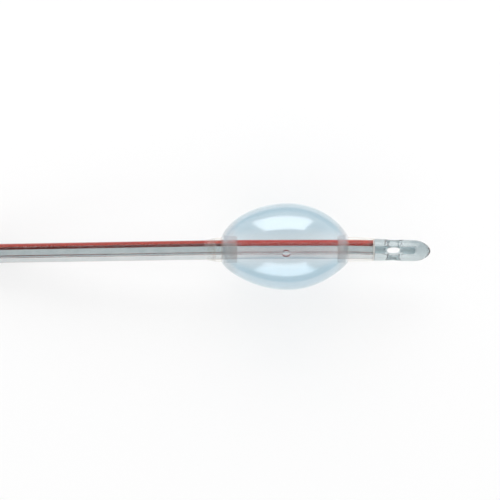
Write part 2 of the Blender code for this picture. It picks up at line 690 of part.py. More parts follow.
def make_valve_body(seat, material):
    # Barbed tail in the arm's socket, grip flange, and a collar that takes the inlet.
    tail_end = ARM_LENGTH - SOCKET_DEPTH + BOND_GAP
    root = TAIL_OD / 2 - BARB_HEIGHT
    barb_pitch = (FLANGE_AT - tail_end) / (BARBS + 1)
    collar_end = FLANGE_AT + FLANGE_THICKNESS + COLLAR_LENGTH
    profile = [(tail_end, TAIL_BORE_D / 2), (tail_end, root)]
    for k in range(BARBS):
        start = tail_end + TAIL_EDGE + k * barb_pitch
        profile += [(start, root), (start + barb_pitch * BARB_CREST, TAIL_OD / 2)]
        profile += [(start + barb_pitch * BARB_FOOT, root)]
    profile += [(FLANGE_AT, root), (FLANGE_AT, FLANGE_OD / 2)]
    profile += [(FLANGE_AT + FLANGE_THICKNESS, FLANGE_OD / 2), (FLANGE_AT + FLANGE_THICKNESS, INLET_OD / 2)]
    profile += [(collar_end, INLET_OD / 2), (collar_end, CHAMBER_D / 2)]
    profile += [(tail_end + CHAMBER_FLOOR, CHAMBER_D / 2), (tail_end + CHAMBER_FLOOR, TAIL_BORE_D / 2)]
    return make_object("valve_body", revolve(profile, ROUND_SEGMENTS, closed=True), material, seat)


def make_valve_inlet(seat, material):
    # Female Luer socket with two locking lugs; its spigot's end is the valve seat.
    shoulder = VALVE_MOUTH - INLET_LENGTH
    spigot = shoulder - SPIGOT_LENGTH
    luer_floor = VALVE_MOUTH - LUER_DEPTH
    luer_floor_r = LUER_MOUTH_D / 2 - LUER_TAPER * LUER_DEPTH / 2
    profile = [
        (spigot, SEAT_BORE_D / 2),
        (spigot, CHAMBER_D / 2 - BOND_GAP),
        (shoulder, CHAMBER_D / 2 - BOND_GAP),
        (shoulder, INLET_OD / 2),
        (VALVE_MOUTH - INLET_EDGE, INLET_OD / 2),
        (VALVE_MOUTH, INLET_OD / 2 - INLET_EDGE),
        (VALVE_MOUTH, LUER_MOUTH_D / 2),
        (luer_floor, luer_floor_r),
        (luer_floor, SEAT_BORE_D / 2),
    ]
    inlet = make_object("valve_inlet", revolve(profile, ROUND_SEGMENTS, closed=True), material, seat)
    for k in range(2):
        bm = bmesh.new()
        low, high = VALVE_MOUTH - INLET_EDGE - LUG_WIDTH, VALVE_MOUTH - INLET_EDGE
        inner, outer = LUER_MOUTH_D / 2 + INLET_OD / 4 - LUER_MOUTH_D / 4, INLET_OD / 2 + LUG_HEIGHT
        corners = ((low, inner), (high, inner), (high, outer), (low, outer))
        section = bm.faces.new([bm.verts.new((x, radius, 0)) for x, radius in corners])
        bmesh.ops.spin(
            bm, geom=[section], cent=(0, 0, 0), axis=(1, 0, 0), angle=LUG_ANGLE, steps=LUG_STEPS
        )
        turn = Matrix.Rotation(math.pi * k - LUG_ANGLE / 2, 3, "X")
        bmesh.ops.rotate(bm, verts=bm.verts, cent=(0, 0, 0), matrix=turn)
        bmesh.ops.recalc_face_normals(bm, faces=bm.faces)
        combine(inlet, make_tool("luer_lug_" + str(k + 1), bm, seat), "UNION")
    return inlet


def stem_places():
    # Stations along the arm's axis: seat, seal's two faces and head's two faces.
    seat_face = VALVE_MOUTH - INLET_LENGTH - SPIGOT_LENGTH
    seal_front = seat_face - BOND_GAP
    seal_back = seal_front - SEAL_THICKNESS
    head_front = seal_back - BOND_GAP
    head_back = head_front - STEM_HEAD_THICKNESS
    return seal_front, seal_back, head_front, head_back


def make_valve_stem(seat, material):
    # Cross-ribbed pin that a syringe's tip pushes, with a head behind the seat and a spring guide.
    _, _, head_front, head_back = stem_places()
    tip_at = VALVE_MOUTH - LUER_DEPTH + STEM_REACH
    core = STEM_RIB / 2
    profile = [
        (head_back - STEM_GUIDE_LENGTH, 0.0),
        (head_back - STEM_GUIDE_LENGTH, STEM_GUIDE_D / 2 - GUIDE_EDGE),
        (head_back - STEM_GUIDE_LENGTH + GUIDE_EDGE, STEM_GUIDE_D / 2),
        (head_back, STEM_GUIDE_D / 2),
        (head_back, STEM_HEAD_D / 2),
        (head_front, STEM_HEAD_D / 2),
        (head_front, core),
        (head_front + STEM_ROOT, 0.0),
    ]
    stem = make_object("valve_stem", revolve(profile, BORE_SEGMENTS), material, seat)
    half = STEM_PIN_D / 2
    start = (head_front + head_back) / 2
    for k in range(2):
        bm = bmesh.new()
        bmesh.ops.create_cube(bm, size=1.0)
        bmesh.ops.scale(bm, verts=bm.verts, vec=(tip_at - start, 2 * half, STEM_RIB))
        bmesh.ops.translate(bm, verts=bm.verts, vec=((tip_at + start) / 2, 0, 0))
        bmesh.ops.rotate(bm, verts=bm.verts, cent=(0, 0, 0), matrix=Matrix.Rotation(math.pi / 2 * k, 3, "X"))
        combine(stem, make_tool("stem_rib_" + str(k + 1), bm, seat), "UNION")
    return stem


def make_valve_seal(seat, material):
    seal_front, seal_back, _, _ = stem_places()
    inner = STEM_PIN_D / 2 + BOND_GAP
    profile = [
        (seal_back, inner),
        (seal_back, SEAL_OD / 2 - SEAL_EDGE),
        (seal_back + SEAL_EDGE, SEAL_OD / 2),
        (seal_front - SEAL_EDGE, SEAL_OD / 2),
        (seal_front, SEAL_OD / 2 - SEAL_EDGE),
        (seal_front, inner),
    ]
    return make_object("valve_seal", revolve(profile, BORE_SEGMENTS, closed=True), material, seat)


def make_valve_spring(seat, material):
    # Compression spring with its end coils closed up, between the chamber's floor and the head.
    _, _, _, head_back = stem_places()
    floor = ARM_LENGTH - SOCKET_DEPTH + BOND_GAP + CHAMBER_FLOOR
    start = floor + SPRING_WIRE / 2 + BOND_GAP
    end = head_back - SPRING_WIRE / 2 - BOND_GAP
    closed_pitch = SPRING_WIRE * CLOSED_COIL
    open_pitch = (end - start - 2 * closed_pitch) / (SPRING_COILS - 2)
    points = []
    for k in range(SPRING_COILS * COIL_SEGMENTS + 1):
        turns = k / COIL_SEGMENTS
        low = min(turns, 1.0) * closed_pitch
        middle = min(max(turns - 1.0, 0.0), SPRING_COILS - 2) * open_pitch
        high = max(turns - (SPRING_COILS - 1), 0.0) * closed_pitch
        a = 2 * math.pi * turns
        points.append((start + low + middle + high, SPRING_D / 2 * math.cos(a), SPRING_D / 2 * math.sin(a)))
    curve = bpy.data.curves.new("valve_spring", "CURVE")
    curve.dimensions = "3D"
    curve.bevel_depth = SPRING_WIRE / 2
    curve.bevel_resolution = 1
    curve.use_fill_caps = True
    spline = curve.splines.new("POLY")
    spline.points.add(len(points) - 1)
    for point, place in zip(spline.points, points):
        point.co = (*place, 1.0)
    curve.materials.append(material)
    spring = bpy.data.objects.new("valve_spring", curve)
    bpy.context.scene.collection.objects.link(spring)
    spring.parent = seat
    return spring


def build():
    for obj in list(bpy.data.objects):
        bpy.data.objects.remove(obj, do_unlink=True)

    clear = make_material("clear_silicone", (0.66, 0.71, 0.70), 0.35, alpha=0.55)
    red = make_material("red_silicone", (0.44, 0.07, 0.045), 0.5)
    membrane = make_material("balloon_silicone", (0.70, 0.80, 0.85), 0.25, alpha=0.35)
    adhesive = make_material("silicone_adhesive", (0.62, 0.65, 0.60), 0.4, alpha=0.6)
    tip_clear = make_material("tip_silicone", (0.66, 0.76, 0.80), 0.2, alpha=0.5)
    moulded = make_material("funnel_silicone", (0.78, 0.81, 0.80), 0.4, alpha=0.8)
    housing = make_material("red_plastic", (0.48, 0.03, 0.03), 0.3)
    white = make_material("white_plastic", (0.80, 0.80, 0.78), 0.35)
    seal = make_material("seal_rubber", (0.05, 0.05, 0.05), 0.6)
    steel = make_material("spring_steel", (0.55, 0.55, 0.56), 0.3, metallic=1.0)

    make_shaft(clear)
    make_stripe(red)
    make_lumen_plug("distal_lumen_plug", SHAFT_DISTAL - LUMEN_PLUG_LENGTH, SHAFT_DISTAL, adhesive)
    make_lumen_plug("proximal_lumen_plug", SHAFT_PROXIMAL, SHAFT_PROXIMAL + LUMEN_PLUG_LENGTH, adhesive)
    make_balloon(membrane)
    make_proximal_bond(adhesive)
    make_tip(adhesive, tip_clear)

    # The funnel's own X points towards its mouth, away from the tip.
    along = Vector((-math.cos(FUNNEL_TILT), 0, math.sin(FUNNEL_TILT)))
    up = Vector((math.sin(FUNNEL_TILT), 0, math.cos(FUNNEL_TILT)))
    side = up.cross(along)
    turn = Matrix((along, side, up)).transposed().to_4x4()
    funnel_seat = make_empty("funnel_seat", Matrix.Translation(axis_point(FUNNEL_SLEEVE)) @ turn)

    # The arm leaves on the -Y side, and its valve's flange rests on the floor.
    level = math.cos(ARM_LIFT)
    along = Vector((-level * math.cos(ARM_ANGLE), -level * math.sin(ARM_ANGLE), math.sin(ARM_LIFT)))
    side = Vector((0, 0, 1)).cross(along).normalized()
    up = along.cross(side)
    turn = Matrix((along, side, up)).transposed().to_4x4()
    crossing = funnel_seat.matrix_world @ Vector((ARM_FROM_SLEEVE, 0, 0))
    arm_seat = make_empty("arm_seat", Matrix.Translation(crossing) @ turn)

    make_funnel(funnel_seat, arm_seat, moulded)
    make_valve_body(arm_seat, housing)
    make_valve_inlet(arm_seat, housing)
    make_valve_stem(arm_seat, white)
    make_valve_seal(arm_seat, seal)
    make_valve_spring(arm_seat, steel)


build()
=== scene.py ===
# Looks for the balloon catheter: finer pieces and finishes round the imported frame.
import math

import bmesh
import bpy
from mathutils import Matrix, Vector


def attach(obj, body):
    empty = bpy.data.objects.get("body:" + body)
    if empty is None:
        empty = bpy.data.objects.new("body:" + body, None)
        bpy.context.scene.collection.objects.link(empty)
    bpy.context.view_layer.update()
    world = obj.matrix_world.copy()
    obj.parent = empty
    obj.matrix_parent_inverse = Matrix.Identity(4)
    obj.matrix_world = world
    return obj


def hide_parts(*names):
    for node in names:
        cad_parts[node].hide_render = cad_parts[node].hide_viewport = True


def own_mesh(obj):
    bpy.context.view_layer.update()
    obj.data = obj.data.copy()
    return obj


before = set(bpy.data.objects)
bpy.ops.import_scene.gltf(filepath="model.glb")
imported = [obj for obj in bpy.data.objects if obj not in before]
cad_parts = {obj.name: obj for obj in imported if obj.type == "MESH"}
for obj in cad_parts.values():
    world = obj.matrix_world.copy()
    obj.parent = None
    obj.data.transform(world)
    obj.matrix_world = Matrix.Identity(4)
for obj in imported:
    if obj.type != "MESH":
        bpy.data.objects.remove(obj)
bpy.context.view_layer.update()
print("frame loaded with", len(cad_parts), "nodes")

# Everything below is modelled in millimetres and made metres when a piece is finished.
# A station is a distance along the catheter from the balloon's middle, positive towards the tip.
# Across the catheter, angles turn from the side (+Y) towards up (+Z).
# Each piece's values stand beside its code; the stations that join them are worked out at the end.
millimetre = 0.001
moldGap = 0.1  # between glued or moulded-on pieces
weld = 0.0005  # corners nearer than this are one
overshoot = 1.0  # cutters reach this far past a surface
white = (1.0, 1.0, 1.0, 1.0)

route = {
    "length": 400.0,  # nose of the tip to mouth of the funnel
    "droopStart": -26.0,  # the shaft starts down from the balloon here
    "droopLength": 89.0,
    "riseLength": 50.0,  # lifts off the floor towards the funnel
    "balloonBend": -0.81,  # degrees, sideways
    "balloonBendStart": -24.5,
    "balloonBendLength": 12.4,
    "tipBend": -1.55,
    "tipBendStart": 15.7,
    "tipBendLength": 11.5,
}


def ease(t):
    t = min(max(t, 0.0), 1.0)
    return t * t * t * (t * (6 * t - 15) + 10)


def funnelTiltAngle():
    # The rim's near corner rests on the floor, so the funnel rises towards its mouth.
    contact = funnel["length"] - funnel["rimWidth"] + funnel["rimRound"]
    tilt = 0.0
    rounds = 12  # more than it takes to settle
    for _ in range(rounds):
        lift = funnel["rimDiameter"] / 2 - shaftRadius / math.cos(tilt)
        tilt = math.atan(lift / (route["riseLength"] / (2 * math.cos(tilt)) + contact))
    return tilt


def axisHeight(s):
    if s < riseStart:
        run = riseStart - s
        bent = min(run, route["riseLength"])
        slope = math.tan(funnelTilt)
        return shaftRadius + slope * bent * bent / (2 * route["riseLength"]) + slope * (run - bent)
    drop = ease((route["droopStart"] - s) / route["droopLength"])
    return balloonRadius + (shaftRadius - balloonRadius) * drop


def axisSide(s):
    side = 0.0
    for bend in ("balloonBend", "tipBend"):
        run = max(s - route[bend + "Start"], 0.0)
        bent = min(run, route[bend + "Length"])
        slope = math.tan(math.radians(route[bend]))
        side += slope * bent * bent / (2 * route[bend + "Length"]) + slope * (run - bent)
    return side


def axisPoint(s):
    return origin + Vector((s, axisSide(s), axisHeight(s)))


def frameAt(point, towards):
    # Axes at a point, with X towards something and Y level.
    along = towards.normalized()
    side = Vector((0, 0, 1)).cross(along).normalized()
    turn = Matrix((along, side, along.cross(side))).transposed()
    return Matrix.Translation(point) @ turn.to_4x4()


def axisFrame(s):
    step = 0.05
    return frameAt(axisPoint(s), axisPoint(s + step) - axisPoint(s - step))


def funnelFrame():
    along = Vector((-math.cos(funnelTilt), 0, math.sin(funnelTilt)))
    return frameAt(axisPoint(funnelSleeve), along)


def armFrame():
    level = math.cos(armLift)
    along = Vector((-level * math.cos(armAngle), -level * math.sin(armAngle), math.sin(armLift)))
    return frameAt(funnelFrame() @ Vector((funnel["armStart"], 0, 0)), along)


def lay(bm):
    # Bends a piece that was made straight along X so that it follows the catheter's axis.
    frames = {}
    for vert in bm.verts:
        station = round(vert.co.x, 5)
        if station not in frames:
            frames[station] = axisFrame(station)
        vert.co = frames[station] @ Vector((0.0, vert.co.y, vert.co.z))


def outlineRing(bm, out, angle, halfAcross, halfRadial, facets):
    # Oval of edges across X, placed out from the axis at an angle.
    ring = bmesh.ops.create_circle(bm, segments=facets, radius=1.0)["verts"]
    bmesh.ops.scale(bm, verts=ring, vec=(halfAcross, halfRadial, 1.0))
    bmesh.ops.translate(bm, verts=ring, vec=(0.0, out, 0.0))
    across = Matrix(((0, 0, 1), (0, 1, 0), (-1, 0, 0)))
    bmesh.ops.rotate(bm, verts=ring, cent=(0, 0, 0), matrix=across)
    turn = Matrix.Rotation(math.radians(angle), 3, "X")
    bmesh.ops.rotate(bm, verts=ring, cent=(0, 0, 0), matrix=turn)


def outward(bm):
    bmesh.ops.recalc_face_normals(bm, faces=bm.faces)
    return bm


def plate(corners):
    # One flat face.
    bm = bmesh.new()
    bm.faces.new([bm.verts.new(corner) for corner in corners])
    return bm


def pushOut(bm, faces, shift):
    # Extrudes faces by a shift and gives the new corners.
    pushed = bmesh.ops.extrude_face_region(bm, geom=faces)["geom"]
    far = [g for g in pushed if isinstance(g, bmesh.types.BMVert)]
    bmesh.ops.translate(bm, verts=far, vec=shift)
    return far


def drawn(outlines, start, end, spacing):
    # Straight extrusion of a section with holes, cut into short lengths so that it can bend.
    bm = bmesh.new()
    for outline in outlines:
        outlineRing(bm, *outline)
    bmesh.ops.triangle_fill(bm, use_beauty=True, edges=bm.edges[:])
    bmesh.ops.translate(bm, verts=bm.verts, vec=(start, 0, 0))
    pushOut(bm, bm.faces[:], (end - start, 0, 0))
    half = (end - start) / 2
    longEdges = [e for e in bm.edges if abs(e.verts[0].co.x - e.verts[1].co.x) > half]
    cuts = max(round((end - start) / spacing) - 1, 1)
    bmesh.ops.subdivide_edges(bm, edges=longEdges, cuts=cuts, use_grid_fill=True)
    return outward(bm)


def turned(profile, facets=96, closed=False):
    # Turns an (x, radius) profile about X. An open profile starts and ends on the axis.
    bm = bmesh.new()
    verts = [bm.verts.new((x, radius, 0.0)) for x, radius in profile]
    pairs = list(zip(verts, verts[1:]))
    if closed:
        pairs.append((verts[-1], verts[0]))
    edges = [bm.edges.new(pair) for pair in pairs]
    around = {"cent": (0, 0, 0), "axis": (1, 0, 0), "angle": 2 * math.pi, "steps": facets}
    bmesh.ops.spin(bm, geom=verts + edges, use_merge=True, **around)
    bmesh.ops.remove_doubles(bm, verts=bm.verts, dist=weld)
    return outward(bm)


def ovalCutter(length, width, low, high, facets):
    # Upright oval rod for eyes and side holes.
    bm = bmesh.new()
    size = {"radius1": 0.5, "radius2": 0.5, "depth": high - low}
    bmesh.ops.create_cone(bm, cap_ends=True, segments=facets, **size)
    bmesh.ops.scale(bm, verts=bm.verts, vec=(length, width, 1.0))
    bmesh.ops.translate(bm, verts=bm.verts, vec=(0, 0, (low + high) / 2))
    return bm


def soften(bm, width, segments=3, sharp=35.0):
    # Rounds the edges that turn by more than the sharp angle.
    limit = math.radians(sharp)
    edges = [e for e in bm.edges if len(e.link_faces) == 2 and e.calc_face_angle(0.0) > limit]
    shape = {"offset": width, "offset_type": "OFFSET", "segments": segments, "profile": 0.5}
    bmesh.ops.bevel(bm, geom=edges, affect="EDGES", clamp_overlap=True, material=-1, **shape)
    return bm


def linked(name, data):
    obj = bpy.data.objects.new(name, data)
    bpy.context.scene.collection.objects.link(obj)
    return obj


def bareObject(name, bm):
    mesh = bpy.data.meshes.new(name)
    bm.to_mesh(mesh)
    bm.free()
    return linked(name, mesh)


def evaluated(obj):
    # The object's mesh with its modifiers, as a bmesh; the object is used up.
    bpy.context.view_layer.update()
    result = bmesh.new()
    result.from_object(obj, bpy.context.evaluated_depsgraph_get())
    bpy.data.objects.remove(obj)
    return result


def combined(bm, tool, operation):
    obj = bareObject("blank", bm)
    cutter = bareObject("cutter", tool)
    step = obj.modifiers.new(operation, "BOOLEAN")
    step.object = cutter
    step.operation = operation
    step.solver = "EXACT"
    result = evaluated(obj)
    bpy.data.objects.remove(cutter)
    bmesh.ops.remove_doubles(result, verts=result.verts, dist=weld)
    bmesh.ops.dissolve_degenerate(result, edges=result.edges, dist=weld)
    return result


def remeshed(bm, grain, passes):
    # Fine even mesh whose inner and outer corners are softened, as a moulding's are.
    obj = bareObject("blank", bm)
    remesh = obj.modifiers.new("remesh", "REMESH")
    remesh.mode = "VOXEL"
    remesh.voxel_size = grain
    smooth = obj.modifiers.new("smooth", "SMOOTH")
    smooth.factor = 0.5
    smooth.iterations = passes
    return evaluated(obj)


def placed(bm, matrix):
    bmesh.ops.transform(bm, matrix=matrix, verts=bm.verts)
    return bm


def finishPiece(name, bm, material, nodes, body="catheter", sharp=40.0):
    # Makes the piece metres, hands it to its body and hides the plain solids it stands for.
    bmesh.ops.scale(bm, verts=bm.verts, vec=(millimetre, millimetre, millimetre))
    obj = bareObject(name, bm)
    obj.data.shade_smooth()
    obj.data.set_sharp_from_angle(angle=math.radians(sharp))
    obj.data.materials.clear()
    obj.data.materials.append(material)
    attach(obj, body)
    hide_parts(*nodes)
    print(name, "made with", len(obj.data.polygons), "faces")
    return obj


class Socket:
    # A node's output; arithmetic on it adds Math nodes.
    def __init__(self, finish, socket):
        self.finish = finish
        self.socket = socket

    def __add__(self, other):
        return self.finish.math("ADD", self, other)

    def __sub__(self, other):
        return self.finish.math("SUBTRACT", self, other)

    def __rsub__(self, other):
        return self.finish.math("SUBTRACT", other, self)

    def __mul__(self, other):
        return self.finish.math("MULTIPLY", self, other)

    def __pow__(self, other):
        return self.finish.math("POWER", self, other)

    __radd__, __rmul__ = __add__, __mul__


class Finish:
    # A material, or the world, whose nodes are added one at a time.
    def __init__(self, name, world=None):
        self.material = world or bpy.data.materials.new(name)
        self.material.use_nodes = True
        self.tree = self.material.node_tree
        self.tree.nodes.clear()
        kind = "ShaderNodeOutputWorld" if world else "ShaderNodeOutputMaterial"
        self.output = self.tree.nodes.new(kind)

    def node(self, kind, values=None, output=0, **settings):
        made = self.tree.nodes.new(kind)
        for key, value in settings.items():
            setattr(made, key, value)
        for key, value in (values or {}).items():
            if isinstance(value, Socket):
                self.tree.links.new(value.socket, made.inputs[key])
            else:
                made.inputs[key].default_value = value
        return Socket(self, made.outputs[output])

    def math(self, operation, *values):
        return self.node("ShaderNodeMath", dict(enumerate(values)), operation=operation)

    def place(self, scale=(1.0, 1.0, 1.0)):
        # Object coordinates in millimetres from the balloon's middle, stretched by a scale.
        here = self.node("ShaderNodeTexCoord", output="Object")
        size = [value / millimetre for value in scale]
        shift = [-value * by for value, by in zip(origin, scale)]
        return self.node("ShaderNodeMapping", {"Vector": here, "Location": shift, "Scale": size})

    def noise(self, scale, detail, stretch=(1.0, 1.0, 1.0)):
        # Scale is in features a millimetre.
        values = {"Vector": self.place(stretch), "Scale": scale, "Detail": detail, "Roughness": 0.55}
        return self.node("ShaderNodeTexNoise", values, output="Fac")

    def station(self, axis="X"):
        return self.node("ShaderNodeSeparateXYZ", {"Vector": self.place()}, output=axis)

    def ramp(self, value, low, high):
        # 0 at low and 1 at high, smoothly.
        values = {"Value": value, "From Min": low, "From Max": high}
        return self.node("ShaderNodeMapRange", values, interpolation_type="SMOOTHSTEP")

    def blend(self, factor, first, second):
        # Mix of two colours, given as triples or sockets.
        colours = [c if isinstance(c, Socket) else (*c, 1.0) for c in (first, second)]
        values = {"Factor": factor, 6: colours[0], 7: colours[1]}
        return self.node("ShaderNodeMix", values, output=2, data_type="RGBA")

    def bump(self, height, distance, strength):
        values = {"Height": height, "Distance": distance * millimetre, "Strength": strength}
        return self.node("ShaderNodeBump", values)

    def facing(self):
        # 0 where the surface faces the camera, 1 at its edge.
        return self.node("ShaderNodeLayerWeight", {"Blend": 0.5}, output="Facing")

    def stored(self, name):
        # A value that the mesh's corners carry.
        return self.node("ShaderNodeAttribute", output="Fac", attribute_name=name)

    def mix(self, share, first, second):
        return self.node("ShaderNodeMixShader", {0: share, 1: first, 2: second})

    def surface(self, values):
        return self.close(self.node("ShaderNodeBsdfPrincipled", values))

    def film(self, tint, share, haze, veil, gloss, shine):
        # Thin clear layer: tinted by share, clouded by veil and mirrored by shine.
        clear = self.node("ShaderNodeBsdfTransparent")
        tinted = self.node("ShaderNodeBsdfTransparent", {"Color": (*tint, 1.0)})
        cloud = self.node("ShaderNodeBsdfPrincipled", haze)
        gloss = {"Base Color": white, "Metallic": 1.0, **gloss}
        mirror = self.node("ShaderNodeBsdfPrincipled", gloss)
        body = self.mix(veil, self.mix(share, clear, tinted), cloud)
        return self.close(self.mix(shine, body, mirror))

    def close(self, shader):
        self.tree.links.new(shader.socket, self.output.inputs["Surface"])
        return self.material


def mottled(name, own, clouds, grains, gloss, relief, fixed):
    # Two close colours in soft clouds, with a fine grain in gloss and relief.
    finish = Finish(name)
    cloud = finish.noise(clouds, 3.0)
    grain = finish.noise(grains, 3.0)
    return finish.surface({
        "Base Color": finish.blend(cloud, own["dark"], own["light"]),
        "Roughness": own["roughness"] + gloss * grain,
        "Normal": finish.bump(grain, 0.02, relief),
        **fixed,
    })


def underSleeve(finish, end):
    # 1 where the balloon's sleeve covers the shaft, as far as a station.
    station = finish.station()
    begun = finish.ramp(station, balloonProximal + 1.0, balloonProximal + 6.0)
    return begun * finish.ramp(station, end, end - 2.0)


shaft = {
    "diameter": 6.0,
    "drainDiameter": 2.2,
    "inflationDiameter": 0.8,
    "inflationOut": 2.05,  # from the shaft's axis
    "inflationAngle": 120.0,
    "holeLength": 2.4,
    "holeWidth": 2.1,
    "holeStation": 0.4,
    "ringSpacing": 2.0,
    "facets": 96,
    "boreFacets": 48,  # also of the side holes
    "inflationFacets": 24,
    "dark": (0.64, 0.69, 0.70),
    "light": (0.70, 0.74, 0.745),
    "paintedLightUnderFilm": (0.86, 0.84, 0.83),  # painted light: lighter under the balloon, to offset the shade its film casts
    "roughness": 0.03,
}


def clearSilicone():
    own = shaft
    finish = Finish("clear silicone")
    drag = finish.noise(3.0, 2.0, stretch=(0.02, 1.0, 1.0))  # draw lines left by the extrusion die
    cloud = finish.noise(0.35, 4.0)
    colour = finish.blend(finish.ramp(cloud, 0.3, 0.7), own["dark"], own["light"])
    # Painted light: the shaft is lightened where the balloon's sleeve covers it.
    colour = finish.blend(underSleeve(finish, balloonDistal), colour, own["paintedLightUnderFilm"])
    return finish.surface({
        "Base Color": colour,
        "Roughness": own["roughness"] + 0.05 * drag,
        "Transmission Weight": 0.985,
        "IOR": 1.41,
        "Specular Tint": (0.3, 0.3, 0.3, 1.0),
        "Normal": finish.bump(drag, 0.02, 0.3),
    })


def makeShaft(material):
    own = shaft
    drain = own["drainDiameter"] / 2
    inflation = own["inflationDiameter"] / 2
    outlines = [
        (0.0, 0.0, shaftRadius, shaftRadius, own["facets"]),
        (0.0, 0.0, drain, drain, own["boreFacets"]),
        (own["inflationOut"], own["inflationAngle"], inflation, inflation, own["inflationFacets"]),
    ]
    bm = drawn(outlines, shaftProximal, shaftDistal, own["ringSpacing"])
    turn = Matrix.Rotation(math.radians(own["inflationAngle"] - 90.0), 4, "X")
    size = (own["holeLength"], own["holeWidth"])
    for station in (own["holeStation"], galleryHole):
        hole = ovalCutter(*size, own["inflationOut"], shaftRadius + overshoot, own["boreFacets"])
        placed(hole, Matrix.Translation((station, 0, 0)) @ turn)
        bm = combined(bm, hole, "DIFFERENCE")
    lay(bm)
    finishPiece("shaft_tube", bm, material, ["shaft"])


stripe = {
    "width": 2.2,
    "thickness": 1.1,
    "out": 2.05,  # from the shaft's axis
    "angle": 28.0,
    "facets": 40,
    "dark": (0.62, 0.048, 0.026),
    "light": (0.73, 0.072, 0.040),
    "speck": (0.74, 0.16, 0.10),
    "paintedLightUnderFilm": (0.84, 0.028, 0.008),  # painted light: purer and brighter under the sleeve, to offset the paling and shade of its film
    "paintedShadeEdge": (0.10, 0.008, 0.006),  # painted shade along its upper edge
    "roughness": 0.45,
}


def redSilicone():
    own = stripe
    finish = Finish("red silicone")
    streak = finish.noise(1.5, 3.0, stretch=(0.05, 1.0, 1.0))
    speck = finish.noise(6.0, 2.0)
    across = finish.stored("across")
    paintedLightUnderFilm = underSleeve(finish, shaftDistal)
    colour = finish.blend(finish.ramp(streak, 0.3, 0.7), own["dark"], own["light"])
    colour = finish.blend(finish.ramp(speck, 0.6, 0.8) * 0.3, colour, own["speck"])
    # Painted light: the stripe is brightened and purified under the sleeve.
    colour = finish.blend(paintedLightUnderFilm * 0.65, colour, own["paintedLightUnderFilm"])
    # Painted shade: the stripe's upper edge is darkened, less so under the film.
    paintedShadeEdge = finish.ramp(across, 0.62, 0.86) * (0.8 - 0.6 * paintedLightUnderFilm)
    colour = finish.blend(paintedShadeEdge, colour, own["paintedShadeEdge"])
    return finish.surface({
        "Base Color": colour,
        "Roughness": own["roughness"] + 0.15 * speck,
        "Specular IOR Level": 0.1,
        "Normal": finish.bump(speck, 0.02, 0.3),
    })


def makeStripe(material):
    own = stripe
    halfWidth = own["width"] / 2 + moldGap
    halfThickness = own["thickness"] / 2 + moldGap
    outline = (own["out"], own["angle"], halfWidth, halfThickness, own["facets"])
    bm = drawn([outline], shaftProximal, shaftDistal, shaft["ringSpacing"])
    across = bm.verts.layers.float.new("across")  # -1 at the stripe's outer edge, 1 at its upper
    upwards = Matrix.Rotation(-math.radians(own["angle"]), 3, "X")
    for vert in bm.verts:
        vert[across] = 2 * (upwards @ vert.co).z / own["width"]
    lay(bm)
    finishPiece("red_stripe", bm, material, ["radiopaque_stripe"])


plug = {
    "length": 3.0,
    "facets": 20,
    "ringSpacing": 1.0,
}


def makePlug(name, start, node, material):
    own = plug
    radius = shaft["inflationDiameter"] / 2 - moldGap
    out, angle = shaft["inflationOut"], shaft["inflationAngle"]
    outline = (out, angle, radius, radius, own["facets"])
    bm = drawn([outline], start, start + own["length"], own["ringSpacing"])
    lay(bm)
    finishPiece(name, bm, material, [node])


balloon = {
    "diameter": 26.84,
    "length": 39.15,
    "widest": 1.1,  # station of the widest section
    "lean": 0.87,  # the bulge sits this far to one side
    "leanPower": 6,
    "wall": 0.3,
    "inset": 0.01,  # keeps the film within the solid's outline
    "fullnessProximal": 0.70,
    "fullnessDistal": 0.80,
    "rootWall": 0.9,
    "rootProximal": 4.8,
    "rootDistal": 3.2,
    "cuffWallProximal": 0.57,
    "cuffProximal": 1.7,
    "cuffWallDistal": 0.65,
    "cuffWallSeam": 0.49,
    "cuffDistal": 7.6,
    "rings": 72,
    "cuffRings": 8,
    "boreRings": 6,
    "facets": 128,
    "tint": (0.70, 0.81, 0.865),  # of what is seen through the film
    "haze": (0.74, 0.82, 0.85),
    "rootNear": (0.48, 0.38, 0.33),  # glued roots, towards -Y and +Y
    "rootFar": (0.62, 0.37, 0.35),
    "cuff": (0.84, 0.76, 0.64),
    "share": 0.12,  # how much of the film is tinted; the next four add to it
    "shareLow": 0.12,
    "shareBeside": 0.47,
    "sharePaintedArc": 0.12,
    "shareTop": 0.6,
    "gloss": 0.028,
    "edgeGloss": 0.20,
    "roughness": 0.11,
}


